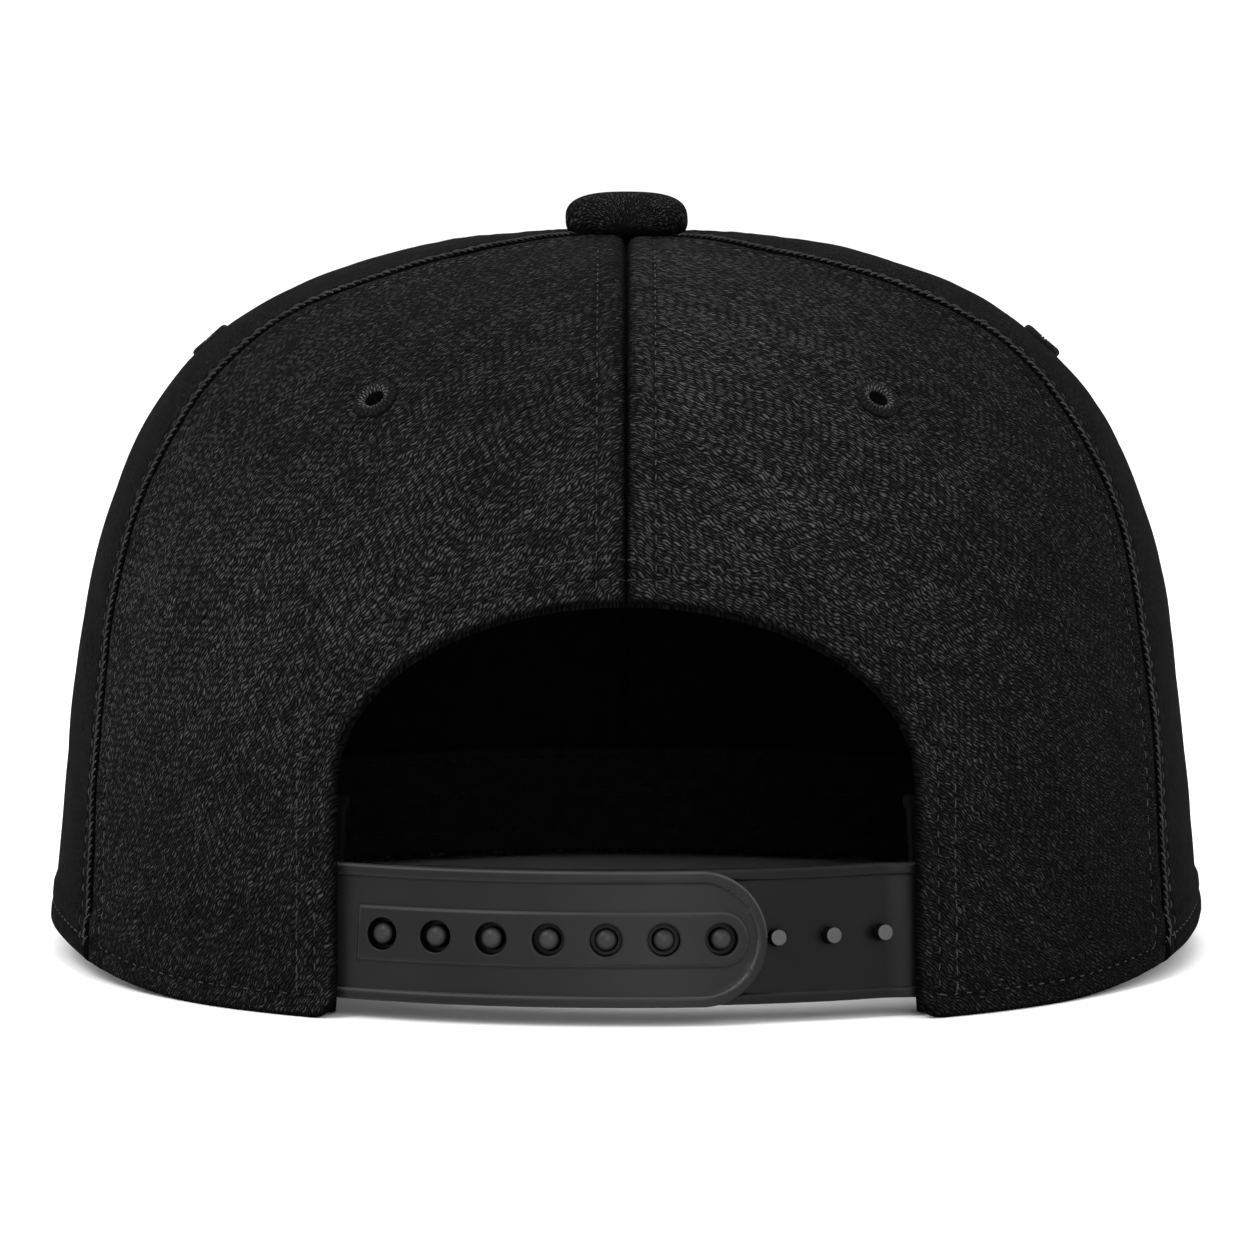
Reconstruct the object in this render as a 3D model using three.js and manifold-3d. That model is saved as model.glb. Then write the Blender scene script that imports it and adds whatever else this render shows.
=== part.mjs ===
// A snapback cap, in millimetres: six cloth panels sewn into a crown, a flat peak in front, a covered
// button on top, and an arched opening behind that two moulded straps close by snapping together.
// +Z is up, +Y is forwards over the peak and +X is the wearer's right. The origin is the middle of the
// head opening, on the surface that the cap stands on.
import * as THREE from "three";
import { mergeVertices, toCreasedNormals } from "three/addons/utils/BufferGeometryUtils.js";
import Module from "manifold-3d";

const wasm = await Module();
wasm.setup();

// Crown
const CROWN_HALF_WIDTH = 88.6;
const CROWN_BACK_REACH = 98;
const CROWN_FRONT_REACH = 94;
const CROWN_HEIGHT = 109.2;
const PLAN_POWER = 2.1;
const CLOTH = 1.8;
const CLEARANCE = 0.3;
const TOP_HOLE_RADIUS = 2.2;
const LIFT_START = 40;
const LIFT_END = 92;
const SEAM_BOW = 4.3;
const SEAM_HOOK = 15;
const SEAM_HOOK_START = 0.85;

// Form of the wall from rim to top: how much it leans in, how late it turns, how square it turns.
const WALL_FORM = {
  back: { lean: 0.13, turn: 5.2, square: 2.1 },
  side: { lean: 0.118, turn: 4.9, square: 2.5 },
  front: { lean: 0.14, turn: 5.6, square: 2.9 },
};

// Panels, named by where they sit: the azimuths of their seams at the rim, in degrees from the centre
// back, and how far up each one's eyelet is, as a share of the crown's height.
const PANELS = [
  { name: "back_left_panel", from: -60, to: 0, eyelet: 0.8 },
  { name: "back_right_panel", from: 0, to: 60, eyelet: 0.8 },
  { name: "side_right_panel", from: 60, to: 120, eyelet: 0.84 },
  { name: "front_right_panel", from: 120, to: 180, eyelet: 0.84 },
  { name: "front_left_panel", from: 180, to: 240, eyelet: 0.84 },
  { name: "side_left_panel", from: 240, to: 300, eyelet: 0.84 },
];

// Back opening
const OPENING_HALF_WIDTH = 41.8;
const OPENING_HEIGHT = 60;
const ARCH_RISE = 26.5;

// Eyelets
const EYELET_RADIUS = 3.2;
const EYELET_HOLE_RADIUS = 1.3;
const EYELET_WALL = 0.6;
const EYELET_PROUD = 0.8;
const EYELET_SIDES = 12;

// Button
const BUTTON_RADIUS = 9.4;
const BUTTON_HEIGHT = 6.15;
const BUTTON_BELLY = 0.3;
const BUTTON_ROUND = 0.38;
const STEM_RADIUS = 1.6;

// Peak
const PEAK_REACH = 70;
const PEAK_HALF_WIDTH = 88;
const PEAK_THICKNESS = 3;
const PEAK_ARCH = 2;
const PEAK_TILT = 3.4;
const PEAK_WIDEST = 32;
const PEAK_BACK = 30;
const PEAK_POWER = 2.4;
const PEAK_END = 110;

// Straps: the outer one has holes, the inner one has pegs.
const STRAP_HEIGHT = 19.2;
const STRAP_FOOT = 2.8;
const STRAP_THICKNESS = 1.2;
const STRAP_TAB = 12;
const STRAP_TIP = 20.3;
const STRAP_EASE = 4;
const BEAD_WIDTH = 1.5;
const RELIEF = 0.4;
const RELIEF_SLOPE = 0.15;
const PLATE_HALF_HEIGHT = 3.8;
const PEG_PITCH = 8.24;
const LAST_HOLE = 13.6;
const HOLE_COUNT = 7;
const FREE_PEGS = 3;
const HOLE_RADIUS = 2.25;
const PEG_RADIUS = 1.55;
const FREE_PEG_RADIUS = 1.25;

// Sweatband
const SWEATBAND_THICKNESS = 1.2;
const SWEATBAND_FRONT_HEIGHT = 17.5;
const SWEATBAND_BACK_HEIGHT = 31;
const SWEATBAND_FOOT = 0.4;
const SWEATBAND_FRONT_LIFT = 2.2;
const SWEATBAND_ROLL = 0.9;

// How far each layer of the back lies inside the crown's outer face.
const OUTER_STRAP_INSET = CLOTH + CLEARANCE + RELIEF;
const BEHIND_OUTER_STRAP = OUTER_STRAP_INSET + STRAP_THICKNESS + CLEARANCE;
const INNER_STRAP_INSET = BEHIND_OUTER_STRAP + RELIEF;
const PEG_HEIGHT = RELIEF + CLEARANCE + STRAP_THICKNESS + RELIEF;

// How far from the centre back the inner strap has eased out to lie against the cloth.
const STRAP_EASE_END = OPENING_HALF_WIDTH + STRAP_EASE / 2;

const PEAK_TIP = CROWN_FRONT_REACH + PEAK_REACH;

const BLACK_TWILL = { color: 0x1f1f20, roughness: 0.92, metalness: 0 };
const BLACK_LINING = { color: 0x141415, roughness: 0.95, metalness: 0 };
const BLACK_THREAD = { color: 0x1b1b1c, roughness: 0.7, metalness: 0 };
const GREY_PLASTIC = { color: 0x2f2f30, roughness: 0.45, metalness: 0 };

const { degToRad, lerp, smoothstep } = THREE.MathUtils;
const LOWEST_PEAK_FORM = lowestPeakForm();

function azimuthFromBack(azimuth) {
  return Math.acos(Math.cos(azimuth));
}

// Whether a point is inside the peak's outline: a long superellipse ahead of its widest line, a short
// one behind it, so that the ends of the peak run in under the rim.
function insidePeak(x, y) {
  const reach = y > PEAK_WIDEST ? PEAK_TIP - PEAK_WIDEST : PEAK_BACK;
  const across = Math.abs(x) / PEAK_HALF_WIDTH;
  return across ** PEAK_POWER + (Math.abs(y - PEAK_WIDEST) / reach) ** PEAK_POWER < 1;
}

// Distance out to the peak's edge from the crown's axis, found by halving.
function peakEdge(azimuth) {
  let [near, far] = [0, 2 * PEAK_TIP];
  for (let i = 0; i < 40; i++) {
    const middle = (near + far) / 2;
    if (insidePeak(middle * Math.sin(azimuth), -middle * Math.cos(azimuth))) near = middle;
    else far = middle;
  }
  return near;
}

// Form of the peak's underside: arched across its width and tilted down towards its tip.
function peakForm(x, y) {
  return PEAK_ARCH * (1 - (x / PEAK_HALF_WIDTH) ** 2) + PEAK_TILT * (1 - y / PEAK_TIP);
}

// Lowest height of that form round the front half of the peak's edge, where it touches the surface.
function lowestPeakForm() {
  let lowest = Infinity;
  for (let azimuth = Math.PI / 2; azimuth <= Math.PI; azimuth += degToRad(1)) {
    const edge = peakEdge(azimuth) - PEAK_THICKNESS / 2;
    lowest = Math.min(lowest, peakForm(edge * Math.sin(azimuth), -edge * Math.cos(azimuth)));
  }
  return lowest;
}

function peakUnderside(x, y) {
  return peakForm(x, y) - LOWEST_PEAK_FORM;
}

// Outer plan radius of the rim: a superellipse with a longer half behind than in front.
function planRadius(azimuth) {
  const reach = Math.cos(azimuth) > 0 ? CROWN_BACK_REACH : CROWN_FRONT_REACH;
  const across = Math.abs(Math.sin(azimuth)) / CROWN_HALF_WIDTH;
  const along = Math.abs(Math.cos(azimuth)) / reach;
  return (across ** PLAN_POWER + along ** PLAN_POWER) ** (-1 / PLAN_POWER);
}

// The rim stands on the surface behind, lifts at the sides and rides on the peak in front.
function rimHeight(azimuth) {
  const radius = planRadius(azimuth);
  const overPeak = peakUnderside(radius * Math.sin(azimuth), -radius * Math.cos(azimuth));
  const lift = smoothstep(azimuthFromBack(azimuth), degToRad(LIFT_START), degToRad(LIFT_END));
  return lift * (overPeak + PEAK_THICKNESS + CLEARANCE);
}

// Azimuth of a seam. The middle ones run straight up. The ones between the sides and the ends bow towards
// the sides halfway up, and hook back towards the ends close to the top.
function seamAzimuth(degrees, rise) {
  const bow = SEAM_BOW * Math.sin(Math.PI * rise) ** 0.7;
  const over = Math.max(0, rise - SEAM_HOOK_START) / (1 - SEAM_HOOK_START);
  const between = Math.sin(2 * degToRad(degrees)) / Math.sin(degToRad(120));
  return degToRad(degrees + between * (bow - SEAM_HOOK * over ** 2.2));
}

// The three wall forms blend by azimuth.
function wallForm(azimuth) {
  const side = Math.sin(azimuth) ** 2;
  const end = Math.cos(azimuth) > 0 ? WALL_FORM.back : WALL_FORM.front;
  const blend = (key) => lerp(end[key], WALL_FORM.side[key], side);
  return { lean: blend("lean"), turn: blend("turn"), square: blend("square") };
}

// Share of the plan radius that is left at a rise from 0 at the rim to 1 at the top.
function reachAt(azimuth, rise) {
  const { lean, turn, square } = wallForm(azimuth);
  return (1 - lean * rise) * (1 - rise ** turn) ** (1 / square);
}

// A point of the crown's wall, an inset inside its outer face.
function crownPoint(azimuth, rise, inset) {
  const radius = reachAt(azimuth, rise) * (planRadius(azimuth) - inset);
  const foot = rimHeight(azimuth);
  const height = foot + (CROWN_HEIGHT - inset - foot) * rise;
  return new THREE.Vector3(radius * Math.sin(azimuth), -radius * Math.cos(azimuth), height);
}

// The same wall by height, straight down below the rim, for what lies against its inside.
function wallPoint(azimuth, height, inset) {
  const foot = rimHeight(azimuth);
  const rise = THREE.MathUtils.clamp((height - foot) / (CROWN_HEIGHT - inset - foot), 0, 1);
  const radius = reachAt(azimuth, rise) * (planRadius(azimuth) - inset);
  return new THREE.Vector3(radius * Math.sin(azimuth), -radius * Math.cos(azimuth), height);
}

// Rise where the wall has closed in to the hole for the button's stem.
function topRise(azimuth) {
  const { lean, turn, square } = wallForm(azimuth);
  const reach = TOP_HOLE_RADIUS / (planRadius(azimuth) * (1 - lean));
  return (1 - reach ** square) ** (1 / turn);
}

// Rise at a share of the way up, spaced so that the steps up the wall and over the top are alike.
function riseAtShare(azimuth, share) {
  const { turn } = wallForm(azimuth);
  const top = Math.asin(topRise(azimuth) ** (turn / 2));
  return Math.sin(top * share ** (turn / 2)) ** (2 / turn);
}

// Outward normal of the outer face, from two short chords across the point.
function crownNormal(azimuth, rise) {
  const step = 0.01;
  const round = crownPoint(azimuth + step, rise, 0).sub(crownPoint(azimuth - step, rise, 0));
  const up = crownPoint(azimuth, rise + step, 0).sub(crownPoint(azimuth, rise - step, 0));
  return round.cross(up).normalize();
}

function signedVolume(points, faces) {
  const cross = new THREE.Vector3();
  return faces.reduce((sum, [a, b, c]) => sum + points[a].dot(cross.crossVectors(points[b], points[c])), 0);
}

function meshFrom(points, faces) {
  const outward = signedVolume(points, faces) > 0 ? faces : faces.map(([a, b, c]) => [a, c, b]);
  const whole = outward.filter(
    ([a, b, c]) => new THREE.Triangle(points[a], points[b], points[c]).getArea() > 1e-6,
  );
  return new THREE.BufferGeometry().setFromPoints(points).setIndex(whole.flat());
}

// A closed wall between two faces, each a grid of points over columns and rows. The last row's edge is
// left open where the two halves of the grid meet along it.
function wallBetween(columns, rows, faceA, faceB, closeLastRow = true) {
  const points = [];
  const faces = [];
  const at = (side, i, j) => side * (columns + 1) * (rows + 1) + j * (columns + 1) + i;
  const quad = (a, b, c, d) => faces.push([a, b, c], [a, c, d]);
  for (const face of [faceA, faceB]) {
    for (let j = 0; j <= rows; j++) {
      for (let i = 0; i <= columns; i++) points.push(face(i, j));
    }
  }
  for (let j = 0; j < rows; j++) {
    for (let i = 0; i < columns; i++) {
      quad(at(0, i, j), at(0, i + 1, j), at(0, i + 1, j + 1), at(0, i, j + 1));
      quad(at(1, i, j), at(1, i, j + 1), at(1, i + 1, j + 1), at(1, i + 1, j));
    }
    quad(at(0, 0, j), at(0, 0, j + 1), at(1, 0, j + 1), at(1, 0, j));
    quad(at(0, columns, j), at(1, columns, j), at(1, columns, j + 1), at(0, columns, j + 1));
  }
  for (let i = 0; i < columns; i++) {
    quad(at(0, i, 0), at(1, i, 0), at(1, i + 1, 0), at(0, i + 1, 0));
    if (closeLastRow) quad(at(0, i, rows), at(0, i + 1, rows), at(1, i + 1, rows), at(1, i, rows));
  }
  return meshFrom(points, faces);
}

function solidOf(geometry) {
  const bare = new THREE.BufferGeometry().setAttribute("position", geometry.getAttribute("position"));
  if (geometry.index) bare.setIndex(geometry.index);
  const merged = mergeVertices(bare, 1e-3);
  const index = merged.index.array;
  const triangles = [];
  for (let i = 0; i < index.length; i += 3) {
    const [a, b, c] = index.slice(i, i + 3);
    if (a !== b && b !== c && c !== a) triangles.push(a, b, c);
  }
  return new wasm.Manifold(
    new wasm.Mesh({
      numProp: 3,
      vertProperties: merged.attributes.position.array,
      triVerts: new Uint32Array(triangles),
    }),
  );
}

function geometryOf(solid) {
  const { vertProperties, triVerts } = solid.getMesh();
  return new THREE.BufferGeometry()
    .setAttribute("position", new THREE.BufferAttribute(vertProperties, 3))
    .setIndex(new THREE.BufferAttribute(triVerts, 1));
}

function piece(name, geometry, finish) {
  const shaded = toCreasedNormals(geometry, degToRad(35));
  const mesh = new THREE.Mesh(shaded, new THREE.MeshStandardMaterial(finish));
  mesh.name = name;
  return mesh;
}

// A turned shape stood on a point, with its axis along a direction.
function turned(profile, sides, point, axis) {
  const geometry = new THREE.LatheGeometry(
    profile.map(([radius, height]) => new THREE.Vector2(radius, height)),
    sides,
  );
  const upright = new THREE.Quaternion().setFromUnitVectors(new THREE.Vector3(0, 1, 0), axis);
  return geometry.applyQuaternion(upright).translate(point.x, point.y, point.z);
}

// The arched opening, as a block that runs out through the back of the crown.
function openingBlock() {
  const straight = OPENING_HEIGHT - ARCH_RISE;
  const shape = new THREE.Shape();
  shape.moveTo(OPENING_HALF_WIDTH, -CROWN_HEIGHT);
  shape.lineTo(OPENING_HALF_WIDTH, straight);
  shape.absellipse(0, straight, OPENING_HALF_WIDTH, ARCH_RISE, 0, Math.PI);
  shape.lineTo(-OPENING_HALF_WIDTH, -CROWN_HEIGHT);
  const depth = CROWN_BACK_REACH * 2;
  const block = new THREE.ExtrudeGeometry(shape, { depth, bevelEnabled: false, curveSegments: 20 });
  return block.rotateX(Math.PI / 2);
}

// Where a panel's eyelet sits: its centre on the outer face, its direction, and the wall's depth there.
function eyeletSeat(spec) {
  const azimuth = degToRad((spec.from + spec.to) / 2);
  const axis = crownNormal(azimuth, spec.eyelet);
  const centre = crownPoint(azimuth, spec.eyelet, 0);
  const wall = centre.clone().sub(crownPoint(azimuth, spec.eyelet, CLOTH)).dot(axis);
  return { centre, axis, wall };
}

// Room for an eyelet: a hole through the wall and a flat seat on each side of it.
function eyeletRoom(seat) {
  const wide = EYELET_RADIUS + CLEARANCE;
  const narrow = EYELET_HOLE_RADIUS + EYELET_WALL + CLEARANCE;
  const beyond = 4 * EYELET_RADIUS;
  const profile = [
    [0, -seat.wall - beyond],
    [wide, -seat.wall - beyond],
    [wide, -seat.wall],
    [narrow, -seat.wall],
    [narrow, 0],
    [wide, 0],
    [wide, beyond],
    [0, beyond],
  ];
  return turned(profile, EYELET_SIDES, seat.centre, seat.axis);
}

// A stitched eyelet: a round rim outside and inside the cloth, joined through the hole.
function eyelet(seat) {
  const hole = EYELET_HOLE_RADIUS;
  const outside = CLEARANCE;
  const inside = -seat.wall - CLEARANCE;
  const barrel = hole + EYELET_WALL;
  const profile = [
    [hole, inside - EYELET_PROUD / 2],
    [hole, outside + EYELET_PROUD / 2],
    [lerp(hole, EYELET_RADIUS, 0.5), outside + EYELET_PROUD],
    [EYELET_RADIUS, outside],
    [barrel, outside],
    [barrel, inside],
    [EYELET_RADIUS, inside],
    [lerp(hole, EYELET_RADIUS, 0.6), inside - EYELET_PROUD],
    [hole, inside - EYELET_PROUD / 2],
  ];
  return turned(profile.reverse(), EYELET_SIDES, seat.centre, seat.axis);
}

// One gore of the crown, held back from its seams by half a clearance.
function panel(spec, opening) {
  const columns = 10;
  const rows = 14;
  const middle = degToRad((spec.from + spec.to) / 2);
  const face = (inset) => (i, j) => {
    const rise = riseAtShare(middle, j / rows);
    const edge = (degrees) => {
      const azimuth = seamAzimuth(degrees, rise);
      const radius = reachAt(azimuth, rise) * (planRadius(azimuth) - inset);
      return azimuth + (Math.sign(middle - azimuth) * CLEARANCE) / 2 / radius;
    };
    return crownPoint(lerp(edge(spec.from), edge(spec.to), i / columns), rise, inset);
  };
  const cut = [eyeletRoom(eyeletSeat(spec))];
  if (opening) cut.push(opening);
  const wall = solidOf(wallBetween(columns, rows, face(0), face(CLOTH)));
  return geometryOf(cut.reduce((solid, tool) => solid.subtract(solidOf(tool)), wall));
}

// The covered button, with the stem that holds it through the crown's top hole. It is widest low down,
// and its edge is rounded over a share of its radius.
function button() {
  const base = CLEARANCE;
  const top = base + BUTTON_HEIGHT;
  const profile = [
    [0, -CLOTH - STEM_RADIUS],
    [STEM_RADIUS, -CLOTH - STEM_RADIUS],
    [STEM_RADIUS, base],
    [BUTTON_RADIUS * 0.86, base],
  ];
  const steps = 7;
  const belly = lerp(base, top, BUTTON_BELLY);
  for (let i = 0; i < steps; i++) {
    const turn = lerp(-0.25, 0.5, i / steps) * Math.PI;
    const reach = turn > 0 ? top - belly : belly - base;
    const radius = BUTTON_RADIUS * (1 - BUTTON_ROUND * (1 - Math.cos(turn)));
    profile.push([radius, belly + reach * Math.sin(turn)]);
  }
  profile.push([0, top]);
  return turned(profile, 24, new THREE.Vector3(0, 0, CROWN_HEIGHT), new THREE.Vector3(0, 0, 1));
}

// The peak: a thin board that starts under the rim in front and has a rounded free edge.
function peak() {
  const columns = 30;
  const steps = [0, 0.2, 0.45, 0.7, 0.9, 0.975, 0.99, 1];
  const face = (side) => (i, j) => {
    const azimuth = lerp(degToRad(PEAK_END), degToRad(360 - PEAK_END), i / columns);
    const inner = planRadius(azimuth) - CLOTH;
    const outer = Math.max(peakEdge(azimuth), inner + CLEARANCE);
    const radius = lerp(inner, outer, steps[j]);
    const fromEdge = Math.min(1, (outer - radius) / (PEAK_THICKNESS / 2));
    const half = (PEAK_THICKNESS / 2) * lerp(0.35, 1, Math.sqrt(1 - (1 - fromEdge) ** 2));
    const [x, y] = [radius * Math.sin(azimuth), -radius * Math.cos(azimuth)];
    return new THREE.Vector3(x, y, peakUnderside(x, y) + PEAK_THICKNESS / 2 + side * half);
  };
  return wallBetween(columns, steps.length - 1, face(1), face(-1));
}

// The sweatband lies against the crown's inside, and behind the straps' tabs near the opening. Its foot
// follows the rim up at the sides and comes down behind the peak, its top edge is a roll, and it is taller
// behind than in front.
function sweatband() {
  const columns = 46;
  const shares = [0, 0.45, 0.86, 0.93, 1];
  const start = azimuthAt(OPENING_HALF_WIDTH * 1.06);
  const tabEnd = azimuthAt(OPENING_HALF_WIDTH + STRAP_TAB * 1.5);
  const easeEnd = azimuthAt(OPENING_HALF_WIDTH + STRAP_TAB * 2.5);
  const face = (depth) => (i, j) => {
    const azimuth = lerp(start, 2 * Math.PI - start, i / columns);
    const turn = azimuthFromBack(azimuth);
    const low = smoothstep(turn, degToRad(60), degToRad(105));
    const height = lerp(SWEATBAND_BACK_HEIGHT, SWEATBAND_FRONT_HEIGHT, low);
    const against = lerp(BEHIND_OUTER_STRAP, CLOTH + CLEARANCE, smoothstep(turn, tabEnd, easeEnd));
    const front = smoothstep(turn, degToRad(PEAK_END - 10), degToRad(PEAK_END + 20));
    const foot = SWEATBAND_FOOT + lerp(rimHeight(azimuth), SWEATBAND_FRONT_LIFT, front);
    const up = foot + height * shares[j];
    const roll = j === shares.length - 2 ? SWEATBAND_ROLL : 0;
    return wallPoint(azimuth, up, against + depth * (SWEATBAND_THICKNESS + roll));
  };
  return wallBetween(columns, shares.length - 1, face(0), face(1));
}

// Azimuth at a distance round the back of the rim from its middle, on the straps' line.
function azimuthAt(distance) {
  const step = degToRad(0.25);
  let [azimuth, along] = [0, 0];
  const line = (angle) => wallPoint(angle, STRAP_FOOT + STRAP_HEIGHT / 2, OUTER_STRAP_INSET);
  while (along < Math.abs(distance) && azimuth < Math.PI) {
    along += line(azimuth).distanceTo(line(azimuth + step));
    azimuth += step;
  }
  const over = (along - Math.abs(distance)) / line(azimuth).distanceTo(line(azimuth - step));
  return Math.sign(distance) * (azimuth - over * step);
}

// A point of a strap: along from the centre back, up from the strap's middle, out from its plain face.
function strapPoint(along, up, out, inset) {
  return wallPoint(azimuthAt(along), STRAP_FOOT + STRAP_HEIGHT / 2 + up, inset(along) - out);
}

function strapNormal(along, inset) {
  const side = strapPoint(along + 1, 0, 0, inset).sub(strapPoint(along - 1, 0, 0, inset));
  const up = strapPoint(along, 1, 0, inset).sub(strapPoint(along, -1, 0, inset));
  return side.cross(up).normalize();
}

// A strap from its tab to its round tip: a plain field inside a raised bead, with a raised plate along
// the row of holes where there is one. Rings run in from the outline to the middle line.
function strapBody({ tab, plateStart, tip, lastRound, inset, way, hasPlate }) {
  const radius = STRAP_HEIGHT / 2;
  const plate = radius - PLATE_HALF_HEIGHT;
  const plateRelief = hasPlate ? RELIEF : 0;
  const rings = [
    { in: 0, out: RELIEF / 2, end: tip - radius },
    { in: RELIEF / 2, out: RELIEF, end: tip - radius },
    { in: BEAD_WIDTH, out: RELIEF, end: tip - radius },
    { in: BEAD_WIDTH + RELIEF_SLOPE, out: 0, end: tip - radius },
    { in: plate - RELIEF_SLOPE, out: 0, end: lastRound },
    { in: plate, out: plateRelief, end: lastRound },
    { in: radius, out: plateRelief, end: lastRound },
  ];
  const runs = 9;
  const bends = 8;
  const fixed = [tab, -STRAP_EASE_END, plateStart - RELIEF_SLOPE];
  const straight = fixed.length + runs;
  const columns = 2 * straight + bends;
  // Place on the flat strap, at a column round the outline and a distance in from it.
  const flat = (i, ring) => {
    const half = radius - ring.in;
    const bend = (i - straight) / bends;
    if (bend > 0 && bend < 1) {
      const turn = Math.PI * (0.5 - bend);
      return [ring.end + half * Math.cos(turn), half * Math.sin(turn)];
    }
    const k = i <= straight ? i : columns - i;
    const along = k < fixed.length ? fixed[k] : lerp(plateStart, ring.end, (k - fixed.length) / runs);
    return [along, i <= straight ? half : -half];
  };
  const front = (i, j) => {
    const [along, up] = flat(i, rings[j]);
    const onPlate = rings[j].in < plate || along >= plateStart - RELIEF_SLOPE / 2;
    return strapPoint(way * along, up, onPlate ? rings[j].out : 0, inset);
  };
  const back = (i, j) => {
    const [along, up] = flat(i, rings[j]);
    return strapPoint(way * along, up, -STRAP_THICKNESS, inset);
  };
  return solidOf(wallBetween(columns, rings.length - 1, front, back, false));
}

// The outer strap comes from the wearer's left, and the inner one from the right, behind it.
function outerStrap() {
  const inset = () => OUTER_STRAP_INSET;
  const firstHole = LAST_HOLE - (HOLE_COUNT - 1) * PEG_PITCH;
  const body = strapBody({
    tab: -(OPENING_HALF_WIDTH + STRAP_TAB),
    plateStart: firstHole - PLATE_HALF_HEIGHT,
    tip: STRAP_TIP,
    lastRound: LAST_HOLE,
    inset,
    way: 1,
    hasPlate: true,
  });
  const drill = 4 * STRAP_THICKNESS;
  const profile = [
    [0, -drill],
    [HOLE_RADIUS, -drill],
    [HOLE_RADIUS, drill],
    [0, drill],
  ];
  let solid = body;
  for (let i = 0; i < HOLE_COUNT; i++) {
    const along = LAST_HOLE - i * PEG_PITCH;
    const hole = turned(profile, 12, strapPoint(along, 0, 0, inset), strapNormal(along, inset));
    solid = solid.subtract(solidOf(hole));
  }
  return geometryOf(solid);
}

// Where the inner strap goes in behind the cloth at the right it eases outwards, to lie against it.
function innerStrap() {
  const easeStart = OPENING_HALF_WIDTH - STRAP_EASE;
  const eased = (along) => smoothstep(along, easeStart, STRAP_EASE_END);
  const inset = (along) => lerp(INNER_STRAP_INSET, OUTER_STRAP_INSET, eased(along));
  const firstPeg = LAST_HOLE - (HOLE_COUNT - 1) * PEG_PITCH;
  const body = strapBody({
    tab: -(OPENING_HALF_WIDTH + STRAP_TAB),
    plateStart: -(OPENING_HALF_WIDTH - PLATE_HALF_HEIGHT),
    tip: -firstPeg + STRAP_HEIGHT / 4,
    lastRound: -firstPeg - STRAP_HEIGHT / 4,
    inset,
    way: -1,
    hasPlate: false,
  });
  const root = -STRAP_THICKNESS / 2;
  const profile = (radius) => [
    [0, root],
    [radius, root],
    [radius, PEG_HEIGHT * 0.75],
    [radius * 0.75, PEG_HEIGHT * 0.95],
    [0, PEG_HEIGHT],
  ];
  let solid = body;
  for (let i = 0; i < HOLE_COUNT + FREE_PEGS; i++) {
    const along = firstPeg + i * PEG_PITCH;
    const radius = i < HOLE_COUNT ? PEG_RADIUS : FREE_PEG_RADIUS;
    const peg = turned(profile(radius), 10, strapPoint(along, 0, 0, inset), strapNormal(along, inset));
    solid = solid.add(solidOf(peg));
  }
  return geometryOf(solid);
}

const cap = new THREE.Group();
const opening = openingBlock();
for (const spec of PANELS) {
  const cut = spec.name.startsWith("back") ? opening : undefined;
  cap.add(piece(spec.name, panel(spec, cut), BLACK_TWILL));
  cap.add(piece(spec.name.replace("panel", "eyelet"), eyelet(eyeletSeat(spec)), BLACK_THREAD));
}
cap.add(piece("button", button(), BLACK_TWILL));
cap.add(piece("peak", peak(), BLACK_TWILL));
cap.add(piece("sweatband", sweatband(), BLACK_LINING));
cap.add(piece("outer_strap", outerStrap(), GREY_PLASTIC));
cap.add(piece("inner_strap", innerStrap(), GREY_PLASTIC));

export default cap;
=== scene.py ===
"""A black six-panel snapback cap, seen from behind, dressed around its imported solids.

Lengths are in millimetres until a mesh is made, and metres from there on. +Z is up, +Y runs forwards
over the peak and +X is the wearer's right. Azimuths are measured from the centre back towards +X.
"""

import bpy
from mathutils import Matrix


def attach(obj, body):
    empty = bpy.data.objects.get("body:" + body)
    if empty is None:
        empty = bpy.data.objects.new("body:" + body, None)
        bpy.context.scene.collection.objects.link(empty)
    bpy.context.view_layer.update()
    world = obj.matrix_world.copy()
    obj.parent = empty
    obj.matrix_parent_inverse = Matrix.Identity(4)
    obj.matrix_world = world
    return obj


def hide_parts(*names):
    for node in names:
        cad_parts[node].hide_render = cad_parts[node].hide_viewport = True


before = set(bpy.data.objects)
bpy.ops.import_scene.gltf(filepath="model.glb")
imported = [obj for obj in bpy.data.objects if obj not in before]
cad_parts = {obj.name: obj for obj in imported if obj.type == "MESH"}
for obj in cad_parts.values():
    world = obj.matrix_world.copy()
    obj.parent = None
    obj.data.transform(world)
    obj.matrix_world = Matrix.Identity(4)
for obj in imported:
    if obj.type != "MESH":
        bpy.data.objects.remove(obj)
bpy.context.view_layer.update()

import logging
from dataclasses import dataclass, field
from enum import Enum
from functools import reduce
from typing import Callable, Optional, Sequence

import bpy
import numpy as np
from mathutils import Vector

Array = np.ndarray
Material = bpy.types.Material
Socket = bpy.types.NodeSocket
Piece = bpy.types.Object
MM = 0.001
LOG = logging.getLogger("cap")


def smoothstep(value: Array, low: float, high: float) -> Array:
    """Ease from 0 below low to 1 above high, as 3t^2 - 2t^3."""
    t = np.clip((np.asarray(value, float) - low) / (high - low), 0, 1)
    return t * t * (3 - 2 * t)


def lerp(start: Array, end: Array, share: Array) -> Array:
    """Straight blend from start to end."""
    return start + (end - start) * share


def hump(value: Array, centre: float, width: float) -> Array:
    """Bell curve of height 1: exp of minus the squared distance from centre, in widths."""
    return np.exp(-(((value - centre) / width) ** 2))


def heading(azimuth: Array) -> Array:
    """The direction out from the crown's axis at an azimuth, on the floor, (..., 2)."""
    return np.stack([np.sin(azimuth), -np.cos(azimuth)], -1)


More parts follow.
